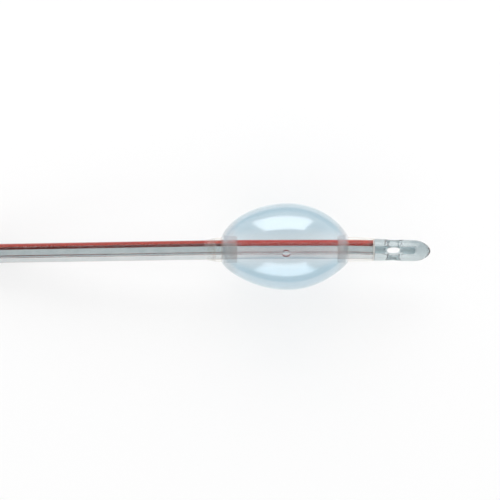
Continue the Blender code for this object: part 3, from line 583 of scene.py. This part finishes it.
def balloonSilicone():
    # A thin tinted film that light passes straight through, with a haze and a gloss that rise at its
    # edge. Darker arcs, painted reflections, lie just inside a pale rim that is a painted reflection
    # too.
    own = balloon
    finish = Finish("balloon silicone")
    station = finish.station()
    cloud = finish.noise(0.12, 3.0)
    streak = finish.noise(0.6, 3.0, stretch=(0.25, 1.0, 1.0))
    mottle = finish.noise(1.1, 4.0)
    bonded = finish.stored("bonded")
    cuff = finish.ramp(station, balloonDistal - 0.5, balloonDistal + 0.5)
    cuff = bonded * (cuff + finish.ramp(station, balloonProximal + 0.3, balloonProximal - 0.3))
    ends = finish.ramp(station, balloonProximal + 6.0, balloonProximal + 3.0)
    ends = (ends + finish.ramp(station, balloonDistal - 4.5, balloonDistal - 1.5)) * (1 - bonded)
    height = finish.station("Z")
    low = finish.ramp(height, balloonRadius + 5.0, balloonRadius - 5.0)
    top = finish.ramp(height, balloonRadius + 3.0, balloonRadius + 8.0)
    side = finish.station("Y")
    # Painted light: the film is left clearer within a few millimetres of the shaft, brightening what
    # is seen through it there.
    beside = finish.ramp(finish.math("ABSOLUTE", side), 2.0, 7.0)
    edge = finish.facing()
    # Painted reflections: a darker arc just inside a pale rim, leaning with the side; the rim clears
    # the lower film.
    arcEdge = edge - 0.14 * finish.ramp(side, -5.0, 5.0)
    rim = finish.ramp(arcEdge, 0.40, 0.50)
    paintedDarkArc = finish.ramp(arcEdge, 0.22, 0.34) - rim
    sheer = own["share"] + low * (own["shareLow"] * (1 - rim) + own["shareBeside"] * beside)
    sheer = sheer + own["sharePaintedArc"] * paintedDarkArc + own["shareTop"] * top * edge ** 2
    bump = finish.bump(streak + bonded * mottle, 0.03, 0.15)
    frosted = bonded + 0.5 * ends
    blush = finish.blend(finish.ramp(side, 0.5, 3.0), own["rootNear"], own["rootFar"])
    colour = finish.blend(frosted, own["haze"], blush)
    colour = finish.blend(cuff, colour, own["cuff"])
    veil = 0.003 + 0.008 * cloud + 0.08 * edge ** 3 + frosted * (0.08 + 0.15 * mottle)
    shine = own["gloss"] + 0.020 * cloud + own["edgeGloss"] * edge ** 4
    return finish.film(
        tint=own["tint"],
        share=sheer * (1 - 0.95 * bonded),
        haze={"Base Color": colour, "Roughness": 0.5, "Specular IOR Level": 0.2, "Normal": bump},
        veil=veil - cuff * (0.085 + 0.15 * mottle - 0.6 * edge ** 4),
        gloss={"Roughness": own["roughness"] + 0.10 * streak, "Normal": bump},
        shine=shine * (1 - 0.95 * bonded),
    )


def bulgeRadius(s):
    own = balloon
    if s < own["widest"]:
        t = (own["widest"] - s) / (own["widest"] - balloonProximal)
        end, power = bore + own["cuffWallProximal"], own["fullnessProximal"]
    else:
        t = (s - own["widest"]) / (balloonDistal - own["widest"])
        end, power = bore + own["cuffWallDistal"], own["fullnessDistal"]
    return end + (balloonRadius - own["inset"] - end) * max(1 - t * t, 0.0) ** power


def bulgeLean(s):
    t = 2 * s / balloon["length"]
    return balloon["lean"] * (1 - min(abs(t), 1.0) ** balloon["leanPower"])


def makeBalloon(material):
    own = balloon
    quarter = own["rings"] // 2
    root = bore + own["rootWall"]
    outer = []
    for k in range(-quarter, quarter + 1):
        half = own["length"] / 2 - math.copysign(own["widest"], k)
        s = own["widest"] + half * math.sin(math.pi / 2 * k / quarter)
        outer.append((s, bulgeRadius(s)))
    inner = []
    for before, here, after in zip(outer, outer[1:], outer[2:]):
        slope = Vector((after[0] - before[0], after[1] - before[1])).normalized()
        radius = here[1] - slope.x * own["wall"]
        if radius > root + own["wall"]:
            inner.append((here[0] + slope.y * own["wall"], radius))
    start = balloonProximal - own["cuffProximal"]
    end = balloonDistal + own["cuffDistal"]
    rootStart = balloonProximal + own["rootProximal"]
    rootEnd = balloonDistal - own["rootDistal"]
    profile = [(start, bore), (start, bore + own["cuffWallProximal"])]
    profile += outer
    for k in range(1, own["cuffRings"]):
        t = k / own["cuffRings"]
        wall = own["cuffWallDistal"] + (own["cuffWallSeam"] - own["cuffWallDistal"]) * t
        profile.append((balloonDistal + own["cuffDistal"] * t, bore + wall))
    profile += [(end, bore + own["cuffWallSeam"]), (end, bore)]
    rings = own["boreRings"]
    profile += [(end + (rootEnd - end) * k / rings, bore) for k in range(1, rings)]
    profile += [(rootEnd, bore), (rootEnd, root)]
    profile += reversed(inner)
    profile += [(rootStart, root), (rootStart, bore)]
    bm = turned(profile, own["facets"], closed=True)
    bonded = bm.verts.layers.float.new("bonded")  # 1 on the roots and cuffs, 0 on the free membrane
    for vert in bm.verts:
        onBulge = balloonProximal <= vert.co.x <= balloonDistal
        onBulge = onBulge and vert.co.yz.length > root + own["inset"]
        vert[bonded] = 0.0 if onBulge else 1.0
        if onBulge:
            vert.co.y += bulgeLean(vert.co.x)
    lay(bm)
    finishPiece("balloon_membrane", bm, material, ["balloon"], sharp=60.0)


bond = {
    "coneLength": 3.5,
    "coneEdge": 0.12,
    "coneBulge": 0.6,  # 0 for a parabola, more for a rounder cone
    "coneRings": 8,
    "seamThickness": 0.3,
    "seamEdge": 0.06,
    "tint": (0.74, 0.70, 0.64),
    "dark": (0.62, 0.56, 0.50),
    "light": (0.80, 0.76, 0.70),
    "roughness": 0.4,
}


def adhesive():
    own = bond
    finish = Finish("silicone adhesive")
    mottle = finish.noise(1.4, 4.0)
    coneStart = balloonProximal - balloon["cuffProximal"] - own["coneLength"]
    full = finish.ramp(finish.station(), coneStart, coneStart + 3.0)
    edge = finish.facing()
    bump = finish.bump(mottle, 0.12, 0.5)
    return finish.film(
        tint=own["tint"],
        share=full * 0.6 * finish.ramp(mottle, 0.45, 0.75),
        haze={
            "Base Color": finish.blend(mottle, own["dark"], own["light"]),
            "Roughness": own["roughness"],
            "Specular IOR Level": 0.3,
            "Normal": bump,
        },
        veil=full * (0.01 + 0.05 * mottle + 0.6 * edge ** 4),
        gloss={"Roughness": 0.08 + 0.15 * mottle, "Normal": bump},
        shine=0.012 + 0.15 * edge ** 4,
    )


def makeBonds(material):
    own = bond
    start = balloonProximal - balloon["cuffProximal"] - moldGap
    profile = [(start - own["coneLength"], bore)]
    profile.append((start - own["coneLength"], bore + own["coneEdge"]))
    rise = balloon["cuffWallProximal"] - own["coneEdge"]
    for k in range(1, own["coneRings"] + 1):
        t = k / own["coneRings"]
        wall = own["coneEdge"] + rise * t * t * (1 + own["coneBulge"] - own["coneBulge"] * t)
        profile.append((start + own["coneLength"] * (t - 1), bore + wall))
    profile.append((start, bore))
    cone = turned(profile, closed=True)
    lay(cone)
    finishPiece("cuff_adhesive", cone, material, ["proximal_bond"])

    radius = shaftRadius + tip["swell"] + tip["shoulder"]
    back = -moldGap - own["seamThickness"]
    inside = tip["boreDiameter"] / 2
    section = [(back, inside), (back, radius), (-moldGap, radius), (-moldGap, inside)]
    ring = soften(turned(section, closed=True), own["seamEdge"], 2)
    placed(ring, axisFrame(tipSeam))
    finishPiece("seam_adhesive", ring, material, ["tip_bond"])


tip = {
    "length": 17.4,
    "swell": 0.28,  # the tip's wall stands this far outside the shaft's
    "shoulder": 0.155,  # and this much more at the seam
    "shoulderLength": 5.5,
    "noseLength": 5.7,
    "nosePower": 2.2,
    "noseBluntness": 0.6,
    "boreDiameter": 2.3,
    "boreDepth": 13.0,
    "eyeLength": 5.9,  # at the outside
    "eyeInnerLength": 4.1,  # at the bore
    "eyeFlareStart": 1.5,  # from the tip's axis
    "eyeWidth": 2.45,
    "eyeFromSeam": 5.9,
    "eyeTwist": 7.5,
    "shoulderRings": 6,
    "noseRings": 24,
    "boreRings": 12,
    "facets": 128,
    "boreFacets": 60,
    "eyeFacets": 50,
    "grain": 0.09,  # remeshing size, which rounds the eyes' rims
    "smoothing": 8,
    "light": (0.68, 0.75, 0.76),
    "dark": (0.38, 0.46, 0.49),
    "roughness": 0.04,
}


def tipSilicone():
    own = tip
    finish = Finish("tip silicone")
    cloud = finish.noise(0.5, 3.0)
    fine = finish.noise(3.0, 2.0)
    solid = finish.ramp(finish.station(), tipSeam + 10.0, tipSeam + 13.0)
    # Painted shade: the tip is darkened towards +Y, most on its solid nose; the cloud adds random
    # tone.
    far = finish.ramp(finish.station("Y"), -5.0, 2.5) * (0.5 + 0.5 * solid)
    colour = finish.blend(far + 0.2 * cloud, own["light"], own["dark"])
    return finish.surface({
        "Base Color": colour,
        "Roughness": own["roughness"] + 0.05 * fine,
        "Transmission Weight": 0.93,
        "IOR": 1.41,
        "Normal": finish.bump(fine, 0.01, 0.2),
    })


def eyePair(radius):
    # Hole right through the tip, longer towards the outside.
    own = tip
    start = own["eyeFlareStart"]
    reach = radius + overshoot - start
    bm = ovalCutter(own["eyeInnerLength"], own["eyeWidth"], -start, start, own["eyeFacets"])
    bm.normal_update()
    grown = (own["eyeLength"] / own["eyeInnerLength"] - 1) * reach / (radius - start)
    for cap in [f for f in bm.faces if abs(f.normal.z) > 0.5]:
        end = pushOut(bm, [cap], (0, 0, math.copysign(reach, cap.normal.z)))
        bmesh.ops.delete(bm, geom=[cap], context="FACES_ONLY")
        bmesh.ops.scale(bm, verts=end, vec=(1 + grown, 1.0, 1.0))
    return outward(bm)


def makeTip(material):
    own = tip
    radius = shaftRadius + own["swell"]
    shoulder = radius + own["shoulder"]
    inside = own["boreDiameter"] / 2
    profile = [(0.0, 0.0), (0.0, shoulder)]
    for k in range(1, own["shoulderRings"] + 1):
        t = k / own["shoulderRings"]
        height = shoulder - own["shoulder"] * (1 - (1 - t) ** 2)
        profile.append((own["shoulderLength"] * t, height))
    for k in range(own["noseRings"] + 1):
        t = math.sin(math.pi / 2 * k / own["noseRings"])
        height = radius * max(1 - t ** own["nosePower"], 0.0) ** own["noseBluntness"]
        profile.append((own["length"] - own["noseLength"] * (1 - t), height))
    hollow = [(-overshoot, 0.0), (-overshoot, inside)]
    for k in range(own["boreRings"] + 1):
        a = math.pi / 2 * k / own["boreRings"]
        hollow.append((own["boreDepth"] - inside * (1 - math.sin(a)), inside * math.cos(a)))
    bm = combined(turned(profile, own["facets"]), turned(hollow, own["boreFacets"]), "DIFFERENCE")
    for turn in (own["eyeTwist"], own["eyeTwist"] + 90.0):
        eyes = eyePair(radius)
        spot = Matrix.Translation((own["eyeFromSeam"], 0, 0))
        placed(eyes, Matrix.Rotation(math.radians(turn), 4, "X") @ spot)
        bm = combined(bm, eyes, "DIFFERENCE")
    bm = remeshed(bm, own["grain"], own["smoothing"])
    placed(bm, axisFrame(tipSeam))
    finishPiece("eyed_tip", bm, material, ["tip"], sharp=80.0)


funnel = {
    "length": 75.0,
    "sleeveWall": 0.8,
    "sleeveEdge": 0.3,
    "hubDiameter": 9.0,
    "hubStart": 12.0,
    "hubEnd": 29.0,
    "shaftInsert": 24.0,
    "galleryStart": 13.5,
    "galleryLength": 6.0,
    "galleryDepth": 0.4,
    "throatDiameter": 2.7,
    "cupStart": 42.0,
    "cupDiameter": 6.6,
    "mouthBore": 9.5,
    "neckDiameter": 9.8,
    "neckAt": 37.0,
    "endDiameter": 12.5,
    "rimDiameter": 14.0,
    "rimWidth": 3.0,
    "rimRound": 0.5,
    "gripRings": 4,
    "gripHeight": 0.35,
    "gripWidth": 1.4,
    "gripPitch": 4.0,
    "gripStart": 50.0,
    "armAngle": 24.0,
    "armStart": 9.0,  # from the sleeve's end
    "armDiameter": 6.8,
    "armBore": 2.0,
    "armLength": 44.0,
    "armEdge": 0.4,
    "socketDiameter": 8.6,  # of the arm, where it holds the valve
    "socketDepth": 14.0,
    "socketFlare": 3,  # length of its step over the height
    "webThickness": 2.4,
    "webReach": 36.0,  # from the sleeve's end
    "webNotch": 2.5,  # depth of the hollow in its free edge
    "webNotchWidth": 6.4,
    "webSteps": 16,
    "boreFacets": 64,
    "grain": 0.28,
    "smoothing": 6,
    "dark": (0.66, 0.69, 0.67),
    "light": (0.80, 0.82, 0.80),
    "roughness": 0.30,
    "transmission": 0.45,
}


def funnelOutside():
    own = funnel
    edge = bore + own["sleeveWall"]
    neckRadius = own["neckDiameter"] / 2
    rim = own["length"] - own["rimWidth"]
    rimRadius = own["rimDiameter"] / 2
    slope = (own["endDiameter"] / 2 - neckRadius) / (rim - own["neckAt"])
    profile = [(0.0, 0.0), (0.0, edge - own["sleeveEdge"]), (own["sleeveEdge"], edge)]
    profile += [(own["hubStart"], own["hubDiameter"] / 2), (own["hubEnd"], own["hubDiameter"] / 2)]
    profile.append((own["neckAt"], neckRadius))
    height = own["gripHeight"]
    for k in range(own["gripRings"]):
        low = own["gripStart"] + k * own["gripPitch"]
        high = low + own["gripWidth"]
        lowRadius = neckRadius + slope * (low - own["neckAt"])
        highRadius = neckRadius + slope * (high - own["neckAt"])
        profile += [(low, lowRadius), (low + height, lowRadius + height)]
        profile += [(high - height, highRadius + height), (high, highRadius)]
    corner = own["rimRound"]
    profile += [(rim - corner, own["endDiameter"] / 2), (rim, rimRadius - corner)]
    profile += [(rim + corner, rimRadius), (own["length"] - corner, rimRadius)]
    profile += [(own["length"], rimRadius - corner), (own["length"], 0.0)]
    return profile


def funnelInside():
    own = funnel
    galleryEnd = own["galleryStart"] + own["galleryLength"]
    stop = own["shaftInsert"] + moldGap
    flare = (own["mouthBore"] - own["cupDiameter"]) / 2 / (own["length"] - own["cupStart"])
    return [
        (-overshoot, 0.0), (-overshoot, bore),
        (own["galleryStart"], bore), (own["galleryStart"], bore + own["galleryDepth"]),
        (galleryEnd, bore + own["galleryDepth"]), (galleryEnd, bore),
        (stop, bore), (stop, own["throatDiameter"] / 2),
        (own["cupStart"], own["cupDiameter"] / 2),
        (own["length"] + overshoot, own["mouthBore"] / 2 + flare * overshoot),
        (own["length"] + overshoot, 0.0),
    ]


def crotchWeb():
    # Flat gusset in the crotch between the drainage funnel and the arm.
    own = funnel
    near = own["hubStart"] + own["hubDiameter"] / 4
    reach = own["webReach"]
    far = (reach - own["armStart"]) * math.tan(armAngle)
    outline = [(near, 0.0), (reach, 0.0)]
    for k in range(own["webSteps"] + 1):
        a = math.pi * (k / own["webSteps"] - 0.5)
        across = far / 2 + own["webNotchWidth"] / 2 * math.sin(a)
        outline.append((reach - own["webNotch"] * math.cos(a), across))
    outline.append((reach, far))
    bm = plate([(x, y, 0.0) for x, y in outline])
    pushOut(bm, bm.faces[:], (0, 0, own["webThickness"]))
    bmesh.ops.translate(bm, verts=bm.verts, vec=(0, 0, -own["webThickness"] / 2))
    return outward(bm)


def makeFunnel(material):
    own = funnel
    toArm = funnelFrame().inverted() @ armFrame()
    socket = own["armLength"] - own["socketDepth"]
    armRadius = own["armDiameter"] / 2
    socketRadius = own["socketDiameter"] / 2
    flare = own["socketFlare"] * (own["socketDiameter"] - own["armDiameter"]) / 2
    outside = [(0.0, 0.0), (0.0, armRadius), (socket - flare, armRadius), (socket, socketRadius)]
    outside += [(own["armLength"] - own["armEdge"], socketRadius)]
    outside += [(own["armLength"], socketRadius - own["armEdge"]), (own["armLength"], 0.0)]
    boreStart = (shaftRadius - own["armBore"] / 2) / math.sin(armAngle)
    tail = housing["tailDiameter"] / 2 + moldGap
    past = own["armLength"] + overshoot
    inside = [(boreStart, 0.0), (boreStart, own["armBore"] / 2), (socket, own["armBore"] / 2)]
    inside += [(socket, tail), (past, tail), (past, 0.0)]
    bm = combined(turned(funnelOutside()), placed(turned(outside), toArm), "UNION")
    bm = combined(bm, crotchWeb(), "UNION")
    bm = remeshed(bm, own["grain"], own["smoothing"])
    bm = combined(bm, turned(funnelInside()), "DIFFERENCE")
    bm = combined(bm, placed(turned(inside, own["boreFacets"]), toArm), "DIFFERENCE")
    placed(bm, funnelFrame())
    finishPiece("y_funnel", bm, material, ["funnel"])


housing = {
    "tailDiameter": 6.0,
    "tailBore": 1.6,
    "barbs": 3,
    "barbHeight": 0.25,
    "barbStart": 0.3,  # from the tail's end
    "barbTop": 0.7,  # shares of the barbs' pitch
    "barbEnd": 0.8,
    "flangeDiameter": 9.2,
    "flangeThickness": 1.8,
    "collarLength": 4.0,
    "chamber": 4.6,
    "chamberFloor": 2.7,
    "edge": 0.15,
    "dark": (0.42, 0.018, 0.016),
    "light": (0.52, 0.030, 0.026),
    "roughness": 0.24,
}


def makeHousing(material):
    own = housing
    top = own["tailDiameter"] / 2
    root = top - own["barbHeight"]
    pitch = (flangeAt - tailEnd) / (own["barbs"] + 1)
    flangeEnd = flangeAt + own["flangeThickness"]
    flangeRadius = own["flangeDiameter"] / 2
    collarEnd = flangeEnd + own["collarLength"]
    collarRadius = luer["diameter"] / 2
    profile = [(tailEnd, own["tailBore"] / 2), (tailEnd, root)]
    for k in range(own["barbs"]):
        start = tailEnd + own["barbStart"] + k * pitch
        profile += [(start, root), (start + pitch * own["barbTop"], top)]
        profile.append((start + pitch * own["barbEnd"], root))
    profile += [(flangeAt, root), (flangeAt, flangeRadius), (flangeEnd, flangeRadius)]
    profile += [(flangeEnd, collarRadius), (collarEnd, collarRadius)]
    profile += [(collarEnd, own["chamber"] / 2), (springFloor, own["chamber"] / 2)]
    profile.append((springFloor, own["tailBore"] / 2))
    bm = soften(turned(profile, closed=True), own["edge"])
    placed(bm, armFrame())
    finishPiece("valve_housing", bm, material, ["valve_body"])


luer = {
    "diameter": 6.6,
    "length": 10.0,
    "spigotLength": 3.0,
    "mouth": 4.3,  # of the Luer socket
    "depth": 8.0,
    "taper": 0.06,
    "lugHeight": 0.6,
    "lugWidth": 1.8,
    "lugAngle": 60.0,
    "lugInset": 0.25,  # from the mouth
    "lugSteps": 16,
    "edge": 0.15,
}


def makeLuer(material):
    own = luer
    shoulder = valveMouth - own["length"]
    spigotEnd = shoulder - own["spigotLength"]
    luerFloor = valveMouth - own["depth"]
    floorRadius = own["mouth"] / 2 - own["taper"] * own["depth"] / 2
    spigotRadius = housing["chamber"] / 2 - moldGap
    outer = own["diameter"] / 2
    profile = [(spigotEnd, seatBore / 2), (spigotEnd, spigotRadius), (shoulder, spigotRadius)]
    profile += [(shoulder, outer), (valveMouth, outer), (valveMouth, own["mouth"] / 2)]
    profile += [(luerFloor, floorRadius), (luerFloor, seatBore / 2)]
    bm = soften(turned(profile, closed=True), own["edge"])
    high = valveMouth - own["lugInset"]
    low = high - own["lugWidth"]
    inner, top = (outer + own["mouth"] / 2) / 2, outer + own["lugHeight"]
    angle = math.radians(own["lugAngle"])
    around = {"cent": (0, 0, 0), "axis": (1, 0, 0), "angle": angle, "steps": own["lugSteps"]}
    for k in range(2):
        lug = plate([(low, inner, 0), (high, inner, 0), (high, top, 0), (low, top, 0)])
        bmesh.ops.spin(lug, geom=lug.faces[:], **around)
        placed(lug, Matrix.Rotation(math.pi * k - angle / 2, 4, "X"))
        bm = combined(bm, soften(outward(lug), own["edge"]), "UNION")
    placed(bm, armFrame())
    finishPiece("valve_luer", bm, material, ["valve_inlet"])


stem = {
    "travel": 2.0,
    "headDiameter": 3.8,
    "headThickness": 1.4,
    "pinDiameter": 2.2,
    "rib": 0.7,
    "ribPoint": 0.1,  # of the cone that closes the head inside the ribs
    "runningGap": 0.2,
    "syringeReach": 5.8,  # of a syringe's tip into the Luer socket
    "guideDiameter": 1.6,
    "guideLength": 3.6,
    "edge": 0.08,
    "facets": 64,
    "dark": (0.74, 0.74, 0.71),
    "light": (0.84, 0.84, 0.81),
    "roughness": 0.28,
}


def stemPlaces():
    # Stations along the arm: the seal's two faces and the head's two faces.
    sealFront = valveMouth - luer["length"] - luer["spigotLength"] - moldGap
    sealBack = sealFront - seal["thickness"]
    headFront = sealBack - moldGap
    return sealFront, sealBack, headFront, headFront - stem["headThickness"]


def crossRod(start, end, reach, half):
    # Rod along X whose section is a plus sign.
    quarter = [(reach, -half), (reach, half), (half, half)]
    corners = []
    for _ in range(4):
        corners += quarter
        quarter = [(-z, y) for y, z in quarter]
    bm = plate([(start, y, z) for y, z in corners])
    pushOut(bm, bm.faces[:], (end - start, 0, 0))
    return outward(bm)


def makeStem(material):
    own = stem
    headFront, headBack = stemPlaces()[2:]
    tipAt = valveMouth - own["syringeReach"] + own["travel"]
    guideEnd = headBack - own["guideLength"]
    guideRadius = own["guideDiameter"] / 2
    headRadius = own["headDiameter"] / 2
    profile = [(guideEnd, 0.0), (guideEnd, guideRadius), (headBack, guideRadius)]
    profile += [(headBack, headRadius), (headFront, headRadius)]
    profile += [(headFront, own["rib"] / 2), (headFront + own["ribPoint"], 0.0)]
    bm = soften(turned(profile, own["facets"]), own["edge"], 2)
    ribs = crossRod((headFront + headBack) / 2, tipAt, own["pinDiameter"] / 2, own["rib"] / 2)
    bm = combined(bm, soften(ribs, own["edge"], 2), "UNION")
    placed(bm, armFrame())
    finishPiece("valve_pin", bm, material, ["valve_stem"], body="valve_stem")


seal = {
    "thickness": 1.0,
    "diameter": 3.6,
    "edge": 0.2,
    "facets": 64,
    "dark": (0.015, 0.015, 0.016),
    "light": (0.03, 0.03, 0.032),
    "roughness": 0.45,
}


def makeSeal(material):
    own = seal
    front, back = stemPlaces()[:2]
    inner = stem["pinDiameter"] / 2 + moldGap
    outer = own["diameter"] / 2
    section = [(back, inner), (back, outer), (front, outer), (front, inner)]
    bm = soften(turned(section, own["facets"], closed=True), own["edge"], 4)
    placed(bm, armFrame())
    finishPiece("seal_ring", bm, material, ["valve_seal"], body="valve_stem")


spring = {
    "wire": 0.3,
    "diameter": 2.8,
    "coils": 8,
    "closedPitch": 1.2,  # of the end coils, in wires
    "facets": 32,
    "dark": (0.48, 0.48, 0.49),
    "light": (0.62, 0.62, 0.63),
    "roughness": 0.22,
}


def springSteel():
    own = spring
    finish = Finish("spring steel")
    draw = finish.noise(5.0, 2.0)
    return finish.surface({
        "Base Color": finish.blend(draw, own["dark"], own["light"]),
        "Metallic": 1.0,
        "Roughness": own["roughness"] + 0.15 * draw,
    })


def makeSpring(material):
    # Compression spring with closed end coils, between the chamber's floor and the stem's head.
    own = spring
    headBack = stemPlaces()[3]
    start = springFloor + own["wire"] / 2 + moldGap
    end = headBack - own["wire"] / 2 - moldGap
    closedPitch = own["wire"] * own["closedPitch"]
    openPitch = (end - start - 2 * closedPitch) / (own["coils"] - 2)
    radius = own["diameter"] / 2
    curve = bpy.data.curves.new("coil", "CURVE")
    curve.dimensions = "3D"
    curve.bevel_depth = own["wire"] / 2
    curve.bevel_resolution = 3
    curve.use_fill_caps = True
    spline = curve.splines.new("POLY")
    spline.points.add(own["coils"] * own["facets"])
    for k, point in enumerate(spline.points):
        turns = k / own["facets"]
        rise = min(turns, 1.0) * closedPitch
        rise += min(max(turns - 1.0, 0.0), own["coils"] - 2) * openPitch
        rise += max(turns - (own["coils"] - 1), 0.0) * closedPitch
        a = 2 * math.pi * turns
        point.co = (start + rise, radius * math.cos(a), radius * math.sin(a), 1.0)
    coil = bpy.data.objects.new("coil", curve)
    tube = bpy.data.meshes.new_from_object(coil)
    bm = bmesh.new()
    bm.from_mesh(tube)
    bpy.data.objects.remove(coil)
    bpy.data.meshes.remove(tube)
    bmesh.ops.remove_doubles(bm, verts=bm.verts, dist=weld)
    placed(outward(bm), armFrame())
    coils = finishPiece("return_spring", bm, material, ["valve_spring"], sharp=60.0)
    along = (armFrame().to_3x3() @ Vector((-1, 0, 0))).normalized()
    length = headBack - springFloor - 2 * moldGap
    anchor = armFrame() @ Vector((springFloor + moldGap, 0, 0)) * millimetre
    keep = 1 - stem["travel"] / length
    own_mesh(coils)


studio = {
    "cameraDistance": 600.0,
    "pictureWidth": 154.7,  # millimetres across the picture at the shaft's height
    "pictureSide": 500,  # pixels
    "balloonColumn": 284.3,  # the balloon's middle in the picture
    "balloonRow": 248.9,
    "axisRise": 0.96,  # degrees that the catheter climbs to the right
    "sensorWidth": 36.0,
    "clip": (0.01, 20.0),  # metres, as are all sizes from here on
    "worldLevel": 0.70,  # light on the object
    "horizonLevel": 0.60,  # what gloss and clear pieces see
    "zenithLevel": 0.25,
    "boxX": 0.15,
    "boxHeight": 0.25,
    "softboxes": {  # place along Y, width, height and level
        "softbox far": (0.52, 0.62, 0.48, 4.2),
        "softbox near": (-0.52, 0.62, 0.40, 1.7),
    },
    "floorSize": 3.0,
    "floorGlow": 0.65,
    "floorFade": (0.30, 0.50),  # from the middle, over which the floor turns white
    "floorDark": (0.88, 0.88, 0.88),
    "floorLight": (0.90, 0.90, 0.90),
}


def makeCamera():
    across = studio["pictureWidth"] / studio["pictureSide"]
    middle = (studio["pictureSide"] - 1) / 2
    rise = math.radians(studio["axisRise"])
    right = Vector((math.cos(rise), -math.sin(rise), 0.0))
    up = Vector((math.sin(rise), math.cos(rise), 0.0))
    centre = axisPoint(0.0)
    centre += right * (middle - studio["balloonColumn"]) * across
    centre += up * (studio["balloonRow"] - middle) * across
    data = bpy.data.cameras.new("camera")
    data.sensor_width = studio["sensorWidth"]
    data.lens = data.sensor_width * studio["cameraDistance"] / studio["pictureWidth"]
    data.clip_start, data.clip_end = studio["clip"]
    camera = linked("camera", data)
    camera.location = (centre + Vector((0, 0, studio["cameraDistance"]))) * millimetre
    camera.rotation_euler = (0.0, 0.0, -rise)
    bpy.context.scene.camera = camera


def makeSoftbox(name, side, width, height, level):
    # Level is the panel's brightness, where 1 is a white surface in this light.
    data = bpy.data.lights.new(name, "AREA")
    data.shape = "RECTANGLE"
    data.size = width
    data.size_y = height
    data.energy = level * math.pi * width * height
    lamp = linked(name, data)
    lamp.location = (studio["boxX"], side, studio["boxHeight"])
    lamp.rotation_euler = Vector((0.0, -side, 0.0)).to_track_quat("-Z", "Y").to_euler()
    lamp.visible_camera = False


def seenDirectly(finish):
    # 1 for rays from the camera and for those that a gloss or a clear piece sends on.
    seen = finish.node("ShaderNodeLightPath", output="Is Camera Ray")
    for ray in ("Is Glossy Ray", "Is Transmission Ray"):
        seen = finish.math("MAXIMUM", seen, finish.node("ShaderNodeLightPath", output=ray))
    return seen


def makeStudio():
    world = bpy.data.worlds.new("studio air")
    bpy.context.scene.world = world
    air = Finish("air", world)
    heading = air.node("ShaderNodeTexCoord", output="Generated")
    height = air.node("ShaderNodeSeparateXYZ", {"Vector": heading}, output="Z")
    span = studio["zenithLevel"] - studio["horizonLevel"]
    dome = studio["horizonLevel"] + span * air.ramp(height, 0.0, 0.8)
    level = studio["worldLevel"] + (dome - studio["worldLevel"]) * seenDirectly(air)
    camera = air.node("ShaderNodeLightPath", output="Is Camera Ray")
    level = level + (1 - level) * camera
    air.close(air.node("ShaderNodeBackground", {"Color": white, "Strength": level}))

    paper = Finish("white floor")
    tooth = paper.noise(0.8, 3.0)
    card = paper.node("ShaderNodeBsdfPrincipled", {
        "Base Color": paper.blend(tooth, studio["floorDark"], studio["floorLight"]),
        "Roughness": 0.9,
        "Specular IOR Level": 0.0,
    })
    glow = paper.node("ShaderNodeEmission", {"Color": white, "Strength": 1.0})
    here = paper.node("ShaderNodeTexCoord", output="Object")
    away = paper.node("ShaderNodeVectorMath", {0: here}, output="Value", operation="LENGTH")
    share = studio["floorGlow"] + (1 - studio["floorGlow"]) * paper.ramp(away, *studio["floorFade"])
    share = seenDirectly(paper) * share
    paper.close(paper.mix(share, card, glow))
    bm = bmesh.new()
    bmesh.ops.create_grid(bm, x_segments=1, y_segments=1, size=studio["floorSize"])
    floor = bareObject("floor", bm)
    floor.data.materials.append(paper.material)

    for name, panel in studio["softboxes"].items():
        makeSoftbox(name, *panel)
    bpy.context.scene.view_settings.view_transform = "Standard"
    print("studio made")


# Stations and shared measures, from the values above.
shaftRadius = shaft["diameter"] / 2
balloonRadius = balloon["diameter"] / 2
bore = shaftRadius + moldGap
balloonProximal = -balloon["length"] / 2
balloonDistal = balloon["length"] / 2
shaftDistal = balloonDistal + balloon["cuffDistal"]
tipSeam = shaftDistal + 2 * moldGap + bond["seamThickness"]
nose = tipSeam + tip["length"]
mouth = nose - route["length"]
funnelSleeve = mouth + funnel["length"]
shaftProximal = funnelSleeve - funnel["shaftInsert"]
riseStart = funnelSleeve + route["riseLength"]
galleryHole = funnelSleeve - funnel["galleryStart"] - funnel["galleryLength"] / 2
seatBore = stem["pinDiameter"] + 2 * stem["runningGap"]
tailEnd = funnel["armLength"] - funnel["socketDepth"] + moldGap
springFloor = tailEnd + housing["chamberFloor"]
flangeAt = funnel["armLength"] + moldGap
valveMouth = flangeAt + housing["flangeThickness"] + housing["collarLength"] + moldGap
valveMouth += luer["length"]
funnelTilt = funnelTiltAngle()
sleeveHeight = shaftRadius + math.tan(funnelTilt) * route["riseLength"] / 2
armHeight = sleeveHeight + funnel["armStart"] * math.sin(funnelTilt)
armLift = math.asin((housing["flangeDiameter"] / 2 - armHeight) / flangeAt)
armAngle = math.radians(funnel["armAngle"])
reachSide = balloonRadius + balloon["lean"]
reachArm = valveMouth * math.sin(armAngle)
reachArm += (luer["diameter"] / 2 + luer["lugHeight"]) * math.cos(armAngle)
origin = Vector((-(nose + mouth) / 2, (reachArm - reachSide) / 2, 0.0))


makeCamera()
makeStudio()
glue = adhesive()
plastic = {"clouds": 0.5, "grains": 7.0, "gloss": 0.12, "relief": 0.5, "fixed": {"IOR": 1.49}}
redPlastic = mottled("red plastic", housing, **plastic)
makeShaft(clearSilicone())
makeStripe(redSilicone())
makePlug("distal_plug", shaftDistal - plug["length"], "distal_lumen_plug", glue)
makePlug("proximal_plug", shaftProximal, "proximal_lumen_plug", glue)
makeBalloon(balloonSilicone())
makeBonds(glue)
makeTip(tipSilicone())
milky = {"Transmission Weight": funnel["transmission"], "IOR": 1.41}
makeFunnel(mottled("funnel silicone", funnel, 0.3, 4.0, 0.15, 0.4, milky))
makeHousing(redPlastic)
makeLuer(redPlastic)
makeStem(mottled("white plastic", stem, **plastic))
makeSeal(mottled("seal rubber", seal, **plastic))
makeSpring(springSteel())
